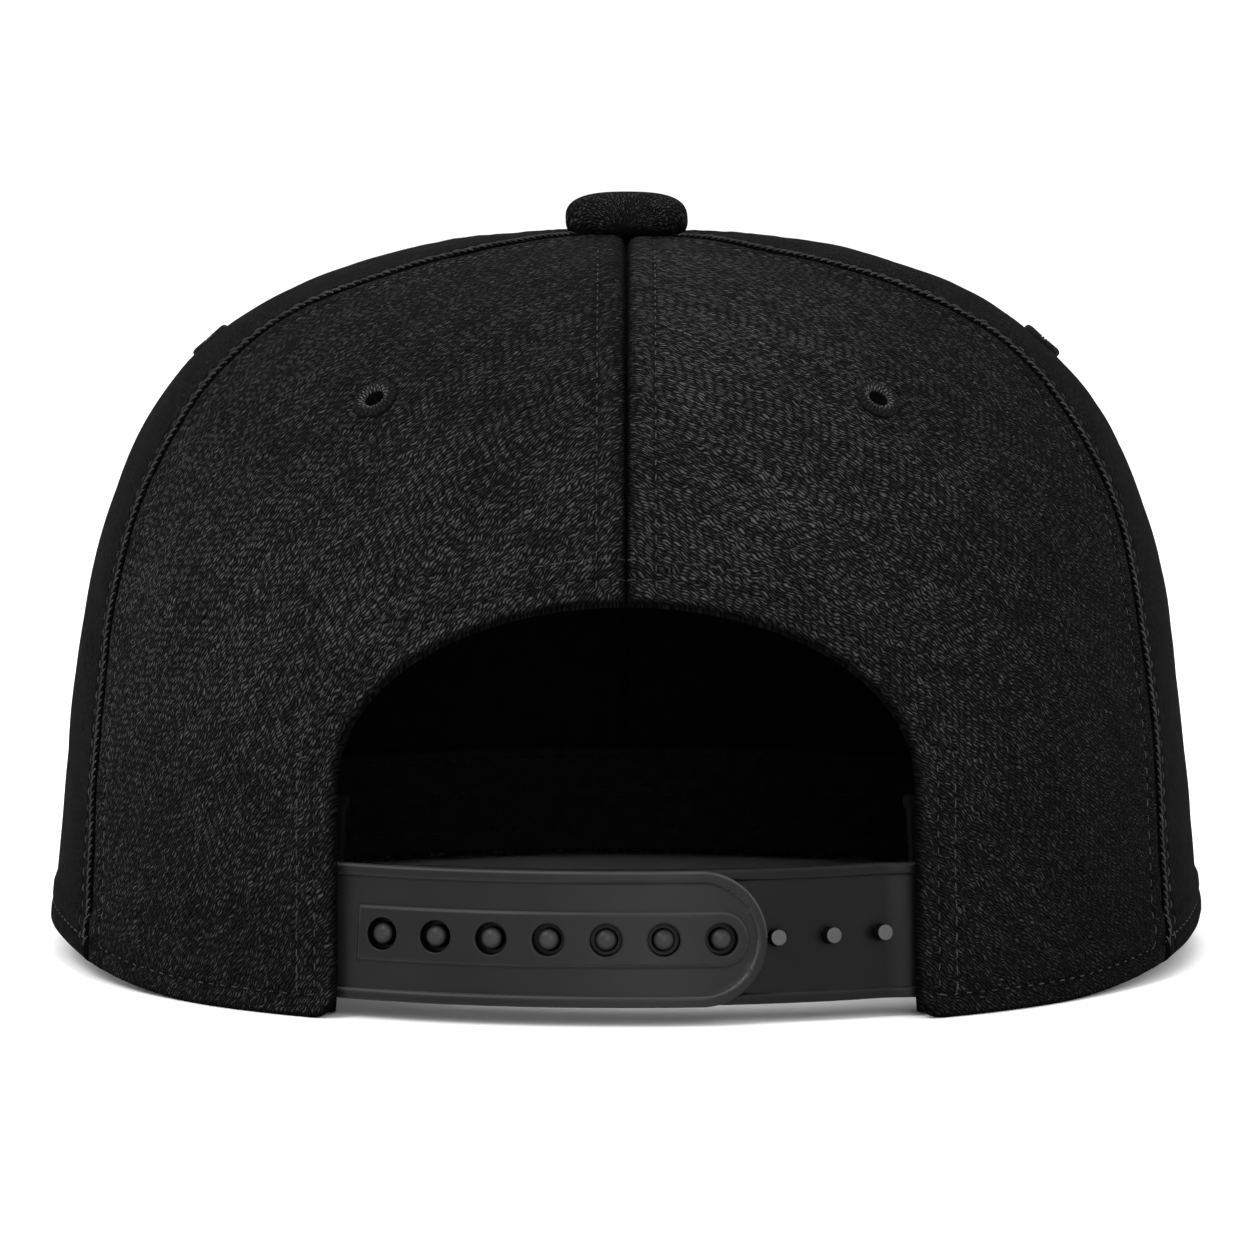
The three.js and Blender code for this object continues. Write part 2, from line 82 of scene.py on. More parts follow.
def unit(vectors: Array) -> Array:
    """Vectors brought to length 1."""
    return vectors / np.maximum(np.linalg.norm(vectors, axis=-1, keepdims=True), 1e-12)


def halved(test: Callable[[Array], Array], low: Array, high: Array) -> Array:
    """Largest values between low and high for which a test still holds, found by halving.

    Args:
        test: takes an array and says where it holds.
        low: values where it holds.
        high: values where it doesn't.

    Returns:
        The values at the change.
    """
    for _ in range(40):
        middle = (low + high) / 2
        holds = test(middle)
        low = np.where(holds, middle, low)
        high = np.where(holds, high, middle)
    return low


def lengths(points: Array) -> Array:
    """Distance along a line of points (count, 3) from its first point to each."""
    steps = np.linalg.norm(np.diff(points, axis=0), axis=-1)
    return np.concatenate([[0.0], np.cumsum(steps)])


def along_line(points: Array, at: Array, *others: Array) -> list[Array]:
    """Values read along a line at given distances from its start, by straight interpolation.

    Args:
        points: the line, (count, 3).
        at: distances.
        others: more values per point, (count, n).

    Returns:
        The points there, then each of the others there.
    """
    along = lengths(points)
    read = lambda values: np.stack([np.interp(at, along, column) for column in values.T], -1)
    return [read(values) for values in (points, *others)]


def distance_to(points: Array, line: Array) -> tuple[Array, Array]:
    """Distance from points to a line, and how far along the line each one's nearest place is.

    Formula: the vector from the nearest point of the line, less its part along the line there.

    Args:
        points: any shape ending in 3.
        line: (count, 3), closely spaced.

    Returns:
        Two arrays of the points' shape without the last axis.
    """
    flat = points.reshape(-1, 3)
    tangent = unit(np.gradient(line, axis=0))
    along = lengths(line)
    squares = (flat**2).sum(1)[:, None] + (line**2).sum(1)[None] - 2 * flat @ line.T
    nearest = squares.argmin(1)
    across = flat - line[nearest]
    forward = (across * tangent[nearest]).sum(1)
    distance = np.linalg.norm(across - forward[:, None] * tangent[nearest], axis=1)
    shape = points.shape[:-1]
    return distance.reshape(shape), (along[nearest] + forward).reshape(shape)


@dataclass
class Shape:
    """Points and faces of a mesh while it is put together, in millimetres.

    Attributes:
        points: (count, 3).
        faces: arrays of point numbers, one array per number of corners.
        finish: which material each face takes, one array per array of faces.
        weave: the place of each point on the flat cloth or surface, in millimetres, and how pale it is
            there as a share of the finish, (count, 3). Without the third column it is 1 all over.
    """

    points: Array
    faces: list[Array]
    finish: list[Array] = field(default_factory=list)
    weave: Optional[Array] = None

    def __post_init__(self) -> None:
        """Give every face the first material, and every point a weave place, where none is given."""
        if not self.finish:
            self.finish = [np.zeros(len(faces), int) for faces in self.faces]
        if self.weave is None:
            self.weave = self.points[:, :2].copy()
        if self.weave.shape[1] == 2:
            self.weave = np.concatenate([self.weave, np.ones((len(self.weave), 1))], 1)

    @staticmethod
    def joined(shapes: Sequence["Shape"]) -> "Shape":
        """Several shapes as one, their point numbers moved on."""
        starts = np.cumsum([0] + [len(shape.points) for shape in shapes[:-1]])
        faces = [part + start for shape, start in zip(shapes, starts) for part in shape.faces]
        finish = [part for shape in shapes for part in shape.finish]
        points = np.concatenate([shape.points for shape in shapes])
        weave = np.concatenate([shape.weave for shape in shapes])
        return Shape(points, faces, finish, weave)

    def volume(self) -> float:
        """Signed volume, as the sum over faces of the corner fans' triple products."""
        total = 0.0
        for faces in self.faces:
            corners = self.points[faces]
            for k in range(1, faces.shape[1] - 1):
                cross = np.cross(corners[:, k], corners[:, k + 1])
                total += (corners[:, 0] * cross).sum()
        return total / 6

    def outward(self) -> "Shape":
        """The same shape with its faces turned outwards, if they all point inwards."""
        if self.volume() < 0:
            self.faces = [faces[:, ::-1] for faces in self.faces]
        return self

    def build(self, name: str, materials: Sequence[Material], sharp: float = 70.0) -> Piece:
        """Make the Blender object, in metres, with its place in its mesh.

        Args:
            name: the piece's name.
            materials: its material slots.
            sharp: angle in degrees past which an edge is shaded as an edge.

        Returns:
            The object, linked to the scene.
        """
        mesh = bpy.data.meshes.new(name)
        loops = np.concatenate([faces.ravel() for faces in self.faces])
        sizes = np.concatenate([np.full(len(faces), faces.shape[1]) for faces in self.faces])
        mesh.vertices.add(len(self.points))
        mesh.vertices.foreach_set("co", (self.points * MM).astype(np.float32).ravel())
        mesh.loops.add(len(loops))
        mesh.loops.foreach_set("vertex_index", loops.astype(np.int32))
        mesh.polygons.add(len(sizes))
        mesh.polygons.foreach_set("loop_start", (np.cumsum(sizes) - sizes).astype(np.int32))
        mesh.polygons.foreach_set("material_index", np.concatenate(self.finish).astype(np.int32))
        layer = mesh.uv_layers.new(name="weave")
        layer.data.foreach_set("uv", self.weave[loops, :2].astype(np.float32).ravel())
        # The paleness holds the pieces' painted light and shade as well as their tone.
        paleness = mesh.attributes.new(name="paleness", type="FLOAT", domain="POINT")
        paleness.data.foreach_set("value", self.weave[:, 2].astype(np.float32))
        mesh.update(calc_edges=True)
        mesh.validate()
        mesh.shade_smooth()
        mesh.set_sharp_from_angle(angle=np.radians(sharp))
        for material in materials:
            mesh.materials.append(material)
        piece = bpy.data.objects.new(name, mesh)
        bpy.context.scene.collection.objects.link(piece)
        return piece


def grid_faces(rows: int, columns: int) -> Array:
    """Four-cornered faces of a grid whose points are numbered row by row."""
    index = np.arange(rows * columns).reshape(rows, columns)
    corners = (index[:-1, :-1], index[:-1, 1:], index[1:, 1:], index[1:, :-1])
    return np.stack(corners, -1).reshape(-1, 4)


def closed_shell(
    outer: Array, inner: Array, keep: Optional[Array] = None, weave: Optional[Array] = None
) -> Shape:
    """Two grids of points joined into one closed wall, with a rim round every border and hole.

    Formula: a border edge is one that a single face has, and each gets a face across the wall.

    Args:
        outer: outer points, (rows, columns, 3).
        inner: inner points of the same shape.
        keep: which cells stay, (rows - 1, columns - 1).
        weave: place on the cloth per point, (rows, columns, 2 or 3).

    Returns:
        The wall, whose inner faces take the second material.
    """
    rows, columns = outer.shape[:2]
    count = rows * columns
    quads = grid_faces(rows, columns)
    if keep is not None:
        quads = quads[keep.ravel()]
    edges = np.concatenate([quads[:, [k, (k + 1) % 4]] for k in range(4)])
    key = edges.min(1) * count + edges.max(1)
    _, first, uses = np.unique(key, return_index=True, return_counts=True)
    start, end = edges[first[uses == 1]].T
    rim = np.stack([end, start, start + count, end + count], -1)
    faces = np.concatenate([quads, rim, quads[:, ::-1] + count])
    finish = np.concatenate([np.zeros(len(quads) + len(rim), int), np.ones(len(quads), int)])
    points = np.concatenate([outer.reshape(-1, 3), inner.reshape(-1, 3)])
    place = None if weave is None else np.tile(weave.reshape(-1, weave.shape[-1]), (2, 1))
    used = np.unique(faces)
    renumber = np.zeros(2 * count, int)
    renumber[used] = np.arange(len(used))
    shape = Shape(points[used], [renumber[faces]], [finish], None if place is None else place[used])
    return shape.outward()


def tube(rings: Array, weave: Optional[Array] = None) -> Shape:
    """A closed body through rings of points, with a flat face over each end.

    Args:
        rings: (count, sides, 3), each ring in the same turning sense.
        weave: place on the surface per point, (count, sides, 2 or 3).

    Returns:
        The body.
    """
    count, sides = rings.shape[:2]
    index = np.arange(count * sides).reshape(count, sides)
    turned = np.roll(index, -1, axis=1)
    corners = (index[:-1], turned[:-1], turned[1:], index[1:])
    quads = np.stack(corners, -1).reshape(-1, 4)
    caps = np.stack([index[0, ::-1], index[-1]])
    place = None if weave is None else weave.reshape(-1, weave.shape[-1])
    return Shape(rings.reshape(-1, 3), [quads, caps], weave=place).outward()


def turned(profile: Sequence[tuple[float, float]], sides: int, seat: Array, axis: Array) -> Shape:
    """A turned body: a profile of radius and height carried round an axis.

    Args:
        profile: (radius, height) pairs from the lower end to the upper one.
        sides: points round.
        seat: the point of height 0 on the axis.
        axis: the axis' direction.

    Returns:
        The body.
    """
    radius, height = np.array(profile, float).T
    angle = np.linspace(0, 2 * np.pi, sides, endpoint=False)
    return tube(ringed(radius[:, None] + 0 * angle, height[:, None] + 0 * angle, angle, seat, axis))


def ringed(radius: Array, height: Array, angle: Array, seat: Array, axis: Array) -> Array:
    """Points at radii and heights round an axis: seat + r (cos a side + sin a across) + h axis."""
    axis = unit(np.asarray(axis, float))
    side = unit(np.cross([0.0, 0.0, 1.0], axis) if abs(axis[2]) < 0.99 else np.array([1.0, 0.0, 0.0]))
    across = np.cross(axis, side)
    round_it = np.cos(angle)[..., None] * side + np.sin(angle)[..., None] * across
    return seat + radius[..., None] * round_it + height[..., None] * axis


@dataclass(frozen=True)
class PeakForm:
    """Sizes of the peak, and the plain form that it shares with the crown's front rim.

    Attributes:
        tip: reach ahead of the crown's axis.
        half_width: at its widest.
        thickness: of the board in its cloth.
        arch: height of its middle over its sides.
        tilt: fall from the crown's axis to the tip.
        widest: how far ahead of the axis it is widest.
        back: how far its outline would reach behind that line.
        power: of the outline's superellipse.
    """

    tip: float = 164.0
    half_width: float = 88.0
    thickness: float = 3.0
    arch: float = 2.0
    tilt: float = 3.4
    widest: float = 32.0
    back: float = 30.0
    power: float = 2.4

    def edge(self, azimuth: Array) -> Array:
        """Distance from the crown's axis out to the edge: a superellipse, longer ahead of its widest line."""

        def inside(radius: Array) -> Array:
            """Whether points at these radii lie inside the outline."""
            x, y = radius * np.sin(azimuth), -radius * np.cos(azimuth)
            reach = np.where(y > self.widest, self.tip - self.widest, self.back)
            across = np.abs(x) / self.half_width
            return across**self.power + (np.abs(y - self.widest) / reach) ** self.power < 1

        return halved(inside, 0 * azimuth, 0 * azimuth + 2 * self.tip)

    def form(self, x: Array, y: Array) -> Array:
        """Height of the underside's form: arched across the width and tilted down to the tip."""
        return self.arch * (1 - (x / self.half_width) ** 2) + self.tilt * (1 - y / self.tip)

    def underside(self, x: Array, y: Array) -> Array:
        """Height of the underside above the floor, which its front edge touches at its lowest."""
        azimuth = np.radians(np.arange(90, 181.0))
        edge = self.edge(azimuth) - self.thickness / 2
        lowest = self.form(edge * np.sin(azimuth), -edge * np.cos(azimuth)).min()
        return self.form(x, y) - lowest


@dataclass(frozen=True)
class Crown:
    """The crown's form: a superelliptic plan, closed in towards the top by three blended wall forms.

    Attributes:
        half_width: of the plan.
        back_reach: from the axis to the rim behind.
        front_reach: the same in front.
        height: of its top.
        plan_power: of the plan's superellipse.
        cloth: depth that the panels take up.
        clearance: between a piece and its neighbour.
        top_hole: radius of the hole for the button's stem.
        lift_start: azimuth at which the rim leaves the floor.
        lift_end: azimuth from which it rides on the peak.
        seam_bow: degrees by which a side seam bows.
        seam_hook: degrees by which it hooks back at the top.
        hook_start: rise at which the hook starts.
        back_form: lean, turn and squareness of the wall behind.
        side_form: the same at the sides.
        front_form: the same in front.
        peak: the peak's form.
    """

    half_width: float = 88.6
    back_reach: float = 98.0
    front_reach: float = 94.0
    height: float = 109.2
    plan_power: float = 2.1
    cloth: float = 1.8
    clearance: float = 0.3
    top_hole: float = 2.2
    lift_start: float = 40.0
    lift_end: float = 92.0
    seam_bow: float = 4.3
    seam_hook: float = 15.0
    hook_start: float = 0.85
    back_form: tuple[float, float, float] = (0.13, 5.2, 2.1)
    side_form: tuple[float, float, float] = (0.118, 4.9, 2.5)
    front_form: tuple[float, float, float] = (0.14, 5.6, 2.9)
    peak: PeakForm = field(default_factory=PeakForm)

    def plan_radius(self, azimuth: Array) -> Array:
        """Plan radius of the rim: a superellipse with a longer half behind than in front."""
        reach = np.where(np.cos(azimuth) > 0, self.back_reach, self.front_reach)
        across = np.abs(np.sin(azimuth)) / self.half_width
        along = np.abs(np.cos(azimuth)) / reach
        return (across**self.plan_power + along**self.plan_power) ** (-1 / self.plan_power)

    def rim_height(self, azimuth: Array) -> Array:
        """The rim stands on the floor behind, lifts at the sides and rides on the peak in front."""
        radius = self.plan_radius(azimuth)
        over = self.peak.underside(radius * np.sin(azimuth), -radius * np.cos(azimuth))
        turn = np.arccos(np.cos(azimuth))
        lift = smoothstep(turn, np.radians(self.lift_start), np.radians(self.lift_end))
        return lift * (over + self.peak.thickness + self.clearance)

    def wall_form(self, azimuth: Array) -> tuple[Array, Array, Array]:
        """Lean, turn and squareness of the wall, blended by the squared sine of the azimuth."""
        azimuth = np.asarray(azimuth, float)
        ends = np.where((np.cos(azimuth) > 0)[..., None], self.back_form, self.front_form)
        form = lerp(ends, np.array(self.side_form), (np.sin(azimuth) ** 2)[..., None])
        return form[..., 0], form[..., 1], form[..., 2]

    def reach(self, azimuth: Array, rise: Array) -> Array:
        """Share of the plan radius left at a rise: (1 - lean r) (1 - r^turn)^(1 / square)."""
        lean, turn, square = self.wall_form(azimuth)
        closed = np.clip(1 - np.maximum(rise, 0) ** turn, 0, 1)
        return (1 - lean * rise) * closed ** (1 / square)

    def point(self, azimuth: Array, rise: Array, inset: Array = 0.0) -> Array:
        """A point of the wall, an inset inside its outer face, at a rise from rim to top."""
        radius = self.reach(azimuth, rise) * (self.plan_radius(azimuth) - inset)
        foot = self.rim_height(azimuth)
        height = foot + (self.height - inset - foot) * rise
        return np.stack([radius * np.sin(azimuth), -radius * np.cos(azimuth), height], -1)

    def wall_point(self, azimuth: Array, height: Array, inset: Array) -> Array:
        """The same wall by height, straight down below the rim."""
        foot = self.rim_height(azimuth)
        rise = np.clip((height - foot) / (self.height - inset - foot), 0, 1)
        radius = self.reach(azimuth, rise) * (self.plan_radius(azimuth) - inset)
        return np.stack([radius * np.sin(azimuth), -radius * np.cos(azimuth), height + 0 * radius], -1)

    def top_angle(self, azimuth: Array) -> Array:
        """Arc sine of the top rise's half power, where the wall has closed in to the stem's hole."""
        lean, turn, square = self.wall_form(azimuth)
        left = self.top_hole / (self.plan_radius(azimuth) * (1 - lean))
        return np.arcsin(np.sqrt(1 - left**square))

    def rise(self, azimuth: Array, share: Array) -> Array:
        """Rise at a share of the way up, evenly spaced over wall and top: sin(top s^(t/2))^(2/t)."""
        _, turn, _ = self.wall_form(azimuth)
        size = np.sin(self.top_angle(azimuth) * np.abs(share) ** (turn / 2)) ** (2 / turn)
        return np.sign(share) * size

    def share(self, azimuth: Array, rise: Array) -> Array:
        """Share of the way up at a rise, the inverse of rise."""
        _, turn, _ = self.wall_form(azimuth)
        angle = np.arcsin(np.clip(rise, 0, 1) ** (turn / 2))
        return (angle / self.top_angle(azimuth)) ** (2 / turn)

    def plane(self, azimuth: Array, rise: Array) -> Array:
        """The crown laid out on a disc: 1 - share out from the middle, in the azimuth's direction."""
        out = 1 - self.share(azimuth, rise)
        return out[..., None] * heading(azimuth)

    def polar(self, plane: Array) -> tuple[Array, Array]:
        """Azimuth and rise of places on the disc."""
        azimuth = np.arctan2(plane[..., 0], -plane[..., 1])
        return azimuth, self.rise(azimuth, 1 - np.hypot(plane[..., 0], plane[..., 1]))

    def spot(self, plane: Array, inset: Array = 0.0) -> Array:
        """Point of the wall at a place on the disc."""
        return self.point(*self.polar(plane), inset)

    def slopes(self, plane: Array) -> Array:
        """Both rates of change of the point with its place on the disc, (..., 3, 2)."""
        step = 1e-4
        moves = np.eye(2) * step
        return np.stack([(self.spot(plane + m) - self.spot(plane - m)) / (2 * step) for m in moves], -1)

    def normal(self, plane: Array) -> Array:
        """Outward normal: the cross product of the two rates of change."""
        slopes = self.slopes(plane)
        return unit(np.cross(slopes[..., 0], slopes[..., 1]))

    def seam(self, degrees: float, share: Array) -> Array:
        """Places on the disc along a seam.

        Formula: the middle seams run straight up; the others bow towards the sides by a power of the
        rise's sine, and hook back towards the ends close to the top.

        Args:
            degrees: azimuth of the seam at the rim.
            share: how far up.

        Returns:
            The places.
        """
        rise = self.rise(np.radians(degrees) + 0 * share, share)
        bow = self.seam_bow * np.sin(np.pi * np.clip(rise, 0, 1)) ** 0.7
        over = np.maximum(0, rise - self.hook_start) / (1 - self.hook_start)
        between = np.sin(2 * np.radians(degrees)) / np.sin(np.radians(120))
        azimuth = np.radians(degrees + between * (bow - self.seam_hook * over**2.2))
        return (1 - share)[..., None] * heading(azimuth)

    def at_width(self, x: Array, height: Array) -> Array:
        """Places on the disc behind, at a distance sideways and a height: the azimuth found by halving."""
        inside = lambda azimuth: self.wall_point(azimuth, height, 0.0)[..., 0] < x
        azimuth = halved(inside, 0 * x, 0 * x + np.radians(80))
        foot = self.rim_height(azimuth)
        return self.plane(azimuth, (height - foot) / (self.height - foot))

    def offset(self, line: Array, distance: float, towards: Array) -> Array:
        """A line on the disc moved sideways over the crown's surface by a distance in millimetres.

        Formula: in four steps, the least-squares move on the disc that gives the wanted move in space,
        which is square to both the line and the surface's normal.

        Args:
            line: places on the disc, (count, 2).
            distance: how far.
            towards: a place on the disc on the side to move to.

        Returns:
            The moved places.
        """
        tangent = unit(np.gradient(self.spot(line), axis=0))
        across = np.cross(self.normal(line), tangent)
        moved = line.copy()
        for _ in range(4):
            slopes = self.slopes(moved)
            square = np.einsum("nij,nik->njk", slopes, slopes)
            wanted = np.einsum("nij,ni->nj", slopes, across)
            move = np.linalg.solve(square, wanted[..., None])[..., 0]
            sign = np.sign((move * (towards - line)).sum())
            moved = moved + sign * move * distance / 4
        return moved


@dataclass(frozen=True)
class Opening:
    """The arched opening behind: straight sides, a half ellipse over them, and rounded lower corners."""

    half_width: float = 41.8
    height: float = 60.0
    rise: float = 26.5
    corner: float = 4.0

    def upright(self, crown: Crown, bottom: float = 0.01, steps: int = 140) -> Array:
        """Places on the disc from the arch's top down the right side to a height, with no corner."""
        sill = self.height - self.rise
        turn = np.linspace(np.pi / 2, 0, 240)
        arch = np.stack([self.half_width * np.cos(turn), sill + self.rise * np.sin(turn)], -1)
        side = np.linspace([self.half_width, sill], [self.half_width, bottom], steps)[1:]
        return crown.at_width(*np.concatenate([arch, side]).T)

    def bend(self, crown: Crown, start: float, end: float) -> Array:
        """Places on the disc round the lower corner, between two angles in half turns."""
        angle = np.linspace(start * np.pi, end * np.pi, 24)
        x = self.half_width + self.corner + self.corner * np.cos(angle)
        return crown.at_width(x, np.maximum(self.corner + self.corner * np.sin(angle), 1e-6))

    def edge(self, crown: Crown) -> Array:
        """Places on the disc from the arch's top down the right side and half round the lower corner."""
        return np.concatenate([self.upright(crown, self.corner, 120), self.bend(crown, 1.0, 1.25)[1:]])

    def sill(self, crown: Crown, seam_degrees: float) -> Array:
        """Places on the disc from the middle of the lower corner along the rim to the seam."""
        corner = self.bend(crown, 1.25, 1.5)
        last = np.arctan2(corner[-1, 0], -corner[-1, 1])
        azimuth = np.linspace(last, np.radians(seam_degrees), 200)[1:]
        return np.concatenate([corner, heading(azimuth)])


Humps = tuple[tuple[float, float, float], ...]


class Fold(Enum):
    """How a panel's cloth turns in at a seam.

    Each holds its share of the seam's groove and swell, and the bells of its own relief and of the
    painted shade in and beside the seam, as paleness lost, each as size, distance from the seam and width.
    """

    VALLEY = (1.0, 1.0, ((-0.735, 0.0, 0.42), (-0.4, 0.0, 1.5)), ((0.97, 0.0, 0.5), (0.3, 0.0, 1.4)))
    ROPE = (0.6, 0.5, ((0.36, 0.8, 0.55), (-0.8, 0.0, 0.22)), ((0.98, 0.0, 0.4), (0.5, 0.9, 0.9)))
    UNDER = (0.6, 0.5, ((-0.75, 0.0, 0.24),), ((0.97, 0.0, 0.3),))

    def __init__(self, groove: float, swell: float, humps: Humps, shade_bells: Humps) -> None:
        """Name the parts of the fold's value."""
        self.groove, self.swell, self.humps, self.shade_bells = groove, swell, humps, shade_bells


@dataclass(frozen=True)
class Groove:
    """The furrow under a row of stitches, deeper at each stitch, with the cloth puckered beside it."""

    row: float
    depth: float
    width: float
    beside: float
    pucker_width: float
    phase: float = 0.0
    pitch: float = 2.4
    pucker: float = 0.05
    unevenness: float = 0.35

    def relief(self, distance: Array, along: Array) -> tuple[Array, Array]:
        """Heights of the furrow and of the puckers, by the distance from the border and along it."""
        beat = np.cos(2 * np.pi * along / self.pitch + self.phase)
        furrow = -self.depth * hump(distance, self.row, self.width) * (1 - self.unevenness * beat)
        return furrow, self.pucker * beat * hump(distance, self.row - self.beside, self.pucker_width)

    def paleness(self, distance: Array, loss: float) -> Array:
        """Share of the paleness left in the furrow, as painted shade in it."""
        return 1 - loss * hump(distance, self.row, self.width - 0.04)


@dataclass(frozen=True)
class SeamForm:
    """Relief and paleness of the cloth beside a seam: its fold, a soft swell and a stitched groove, with
    painted shade in the seam's line and groove.
    """

    groove: Groove = Groove(row=4.25, depth=0.2, width=0.34, beside=1.6, pucker_width=1.1)
    swell: tuple[float, float, float] = (0.3, 2.1, 1.2)
    # Painted shade in the stitched groove, as the share of paleness lost there.
    painted_shading: float = 0.35

    def relief(self, fold: Fold, distance: Array, along: Array) -> Array:
        """Height by the distance from the seam.

        Formula: the sum of the groove, its puckers, the swell and the fold's bells.

        Args:
            fold: how the cloth turns in.
            distance: millimetres from the seam.
            along: millimetres along it.

        Returns:
            Heights over the plain cloth.
        """
        furrow, pucker = self.groove.relief(distance, along)
        size, centre, width = self.swell
        height = fold.groove * furrow + pucker + fold.swell * size * hump(distance, centre, width)
        return height + sum(size * hump(distance, centre, width) for size, centre, width in fold.humps)

    def paleness(self, fold: Fold, distance: Array) -> Array:
        """Share of the cloth's paleness beside a seam, as painted shade: nearly none in its line, less in the
        groove.
        """
        pale = self.groove.paleness(distance, self.painted_shading)
        for loss, centre, width in fold.shade_bells:
            pale = pale * (1 - loss * hump(distance, centre, width))
        return pale


@dataclass(frozen=True)
class HemForm:
    """Relief of a turned and stitched hem: a doubled cloth with a round edge and a stitched groove."""

    row: float = 3.3
    width: float = 5.4
    step: float = 1.3
    proud: float = 0.4
    edge: float = 1.15

    def groove(self) -> Groove:
        """The hem's stitched furrow."""
        return Groove(self.row, depth=0.24, width=0.4, beside=1.2, pucker_width=0.8, phase=self.row)

    def relief(self, distance: Array, along: Array) -> Array:
        """Height by the distance from the hem's edge, without the round of the edge itself."""
        height = self.proud * (1 - smoothstep(distance, self.width, self.width + self.step))
        return height + sum(self.groove().relief(distance, along))

    def roll(self, distance: Array) -> Array:
        """Share of the way round the edge: 1 - sqrt(1 - (1 - d / edge)^2), from 1 at the edge to 0."""
        near = np.clip(1 - distance / self.edge, 0, 1)
        return 1 - np.sqrt(1 - near**2)


def undulation(points: Array) -> Array:
    """Slow unevenness of the cloth, as a sum of sines of the place in space."""
    waves = (
        (0.16, (0.11, 0.05, 0.09), 0.4),
        (0.10, (-0.17, 0.13, 0.15), 1.9),
        (0.06, (0.31, -0.22, 0.27), 3.1),
        (0.035, (0.55, 0.47, -0.61), 5.0),
    )
    return sum(size * np.sin(points @ np.array(wave) + phase) for size, wave, phase in waves)


SEAM_MARKS = np.array(
    [0, 0.1, 0.22, 0.36, 0.52, 0.72, 0.98, 1.3, 1.65, 2.0, 2.5, 3.1, 3.65, 4.0, 4.25, 4.5, 4.9, 5.7, 6.6]
)
HEM_MARKS = np.array(
    [0, 0.05, 0.16, 0.34, 0.58, 0.9, 1.3, 1.9, 2.5, 2.95, 3.3, 3.65, 4.1, 4.8, 5.5, 5.95, 6.3, 6.65, 7.2]
)


def spaced(total: Array, first: Array, last: Array, interior: int) -> Array:
    """Distances along rows of given lengths, close together near both ends.

    Formula: the marks of each end, drawn in where a row is short, and even steps between them.

    Args:
        total: length per row, (rows,).
        first: marks from the start.
        last: marks from the end.
        interior: number of even steps.

    Returns:
        Distances, (rows, len(first) + len(last) + interior - 1).
    """
    total = total[:, None]
    squeeze = np.minimum(1, 0.8 * total / (first[-1] + last[-1]))
    start, end = first * squeeze, total - last[::-1] * squeeze
    steps = np.linspace(0, 1, interior + 1)[1:-1]
    return np.concatenate([start, lerp(start[:, -1:], end[:, :1], steps), end], 1)


def respaced(points: Array, values: Array, first: Array, last: Array, interior: int) -> Array:
    """Values on a grid read again along each row, at spaced distances.

    Args:
        points: the grid in space, (rows, columns, 3).
        values: values on it, (rows, columns, n).
        first: marks from the row's start.
        last: marks from its end.
        interior: number of even steps between.

    Returns:
        The values at the new columns, (rows, new columns, n).
    """
    steps = np.linalg.norm(np.diff(points, axis=1), axis=-1)
    along = np.concatenate([np.zeros((len(points), 1)), np.cumsum(steps, 1)], 1)
    wanted = spaced(along[:, -1], first, last, interior)
    rows = [
        np.stack([np.interp(at, have, column) for column in row.T], -1)
        for at, have, row in zip(wanted, along, values)
    ]
    return np.stack(rows)


STITCH_SPAN = np.array([-1.0, -0.86, -0.45, 0.0, 0.45, 0.86, 1.0])
STITCH_TAPER = np.array([0.35, 0.8, 1.0, 1.04, 1.0, 0.8, 0.35])
STITCH_SEED = 7


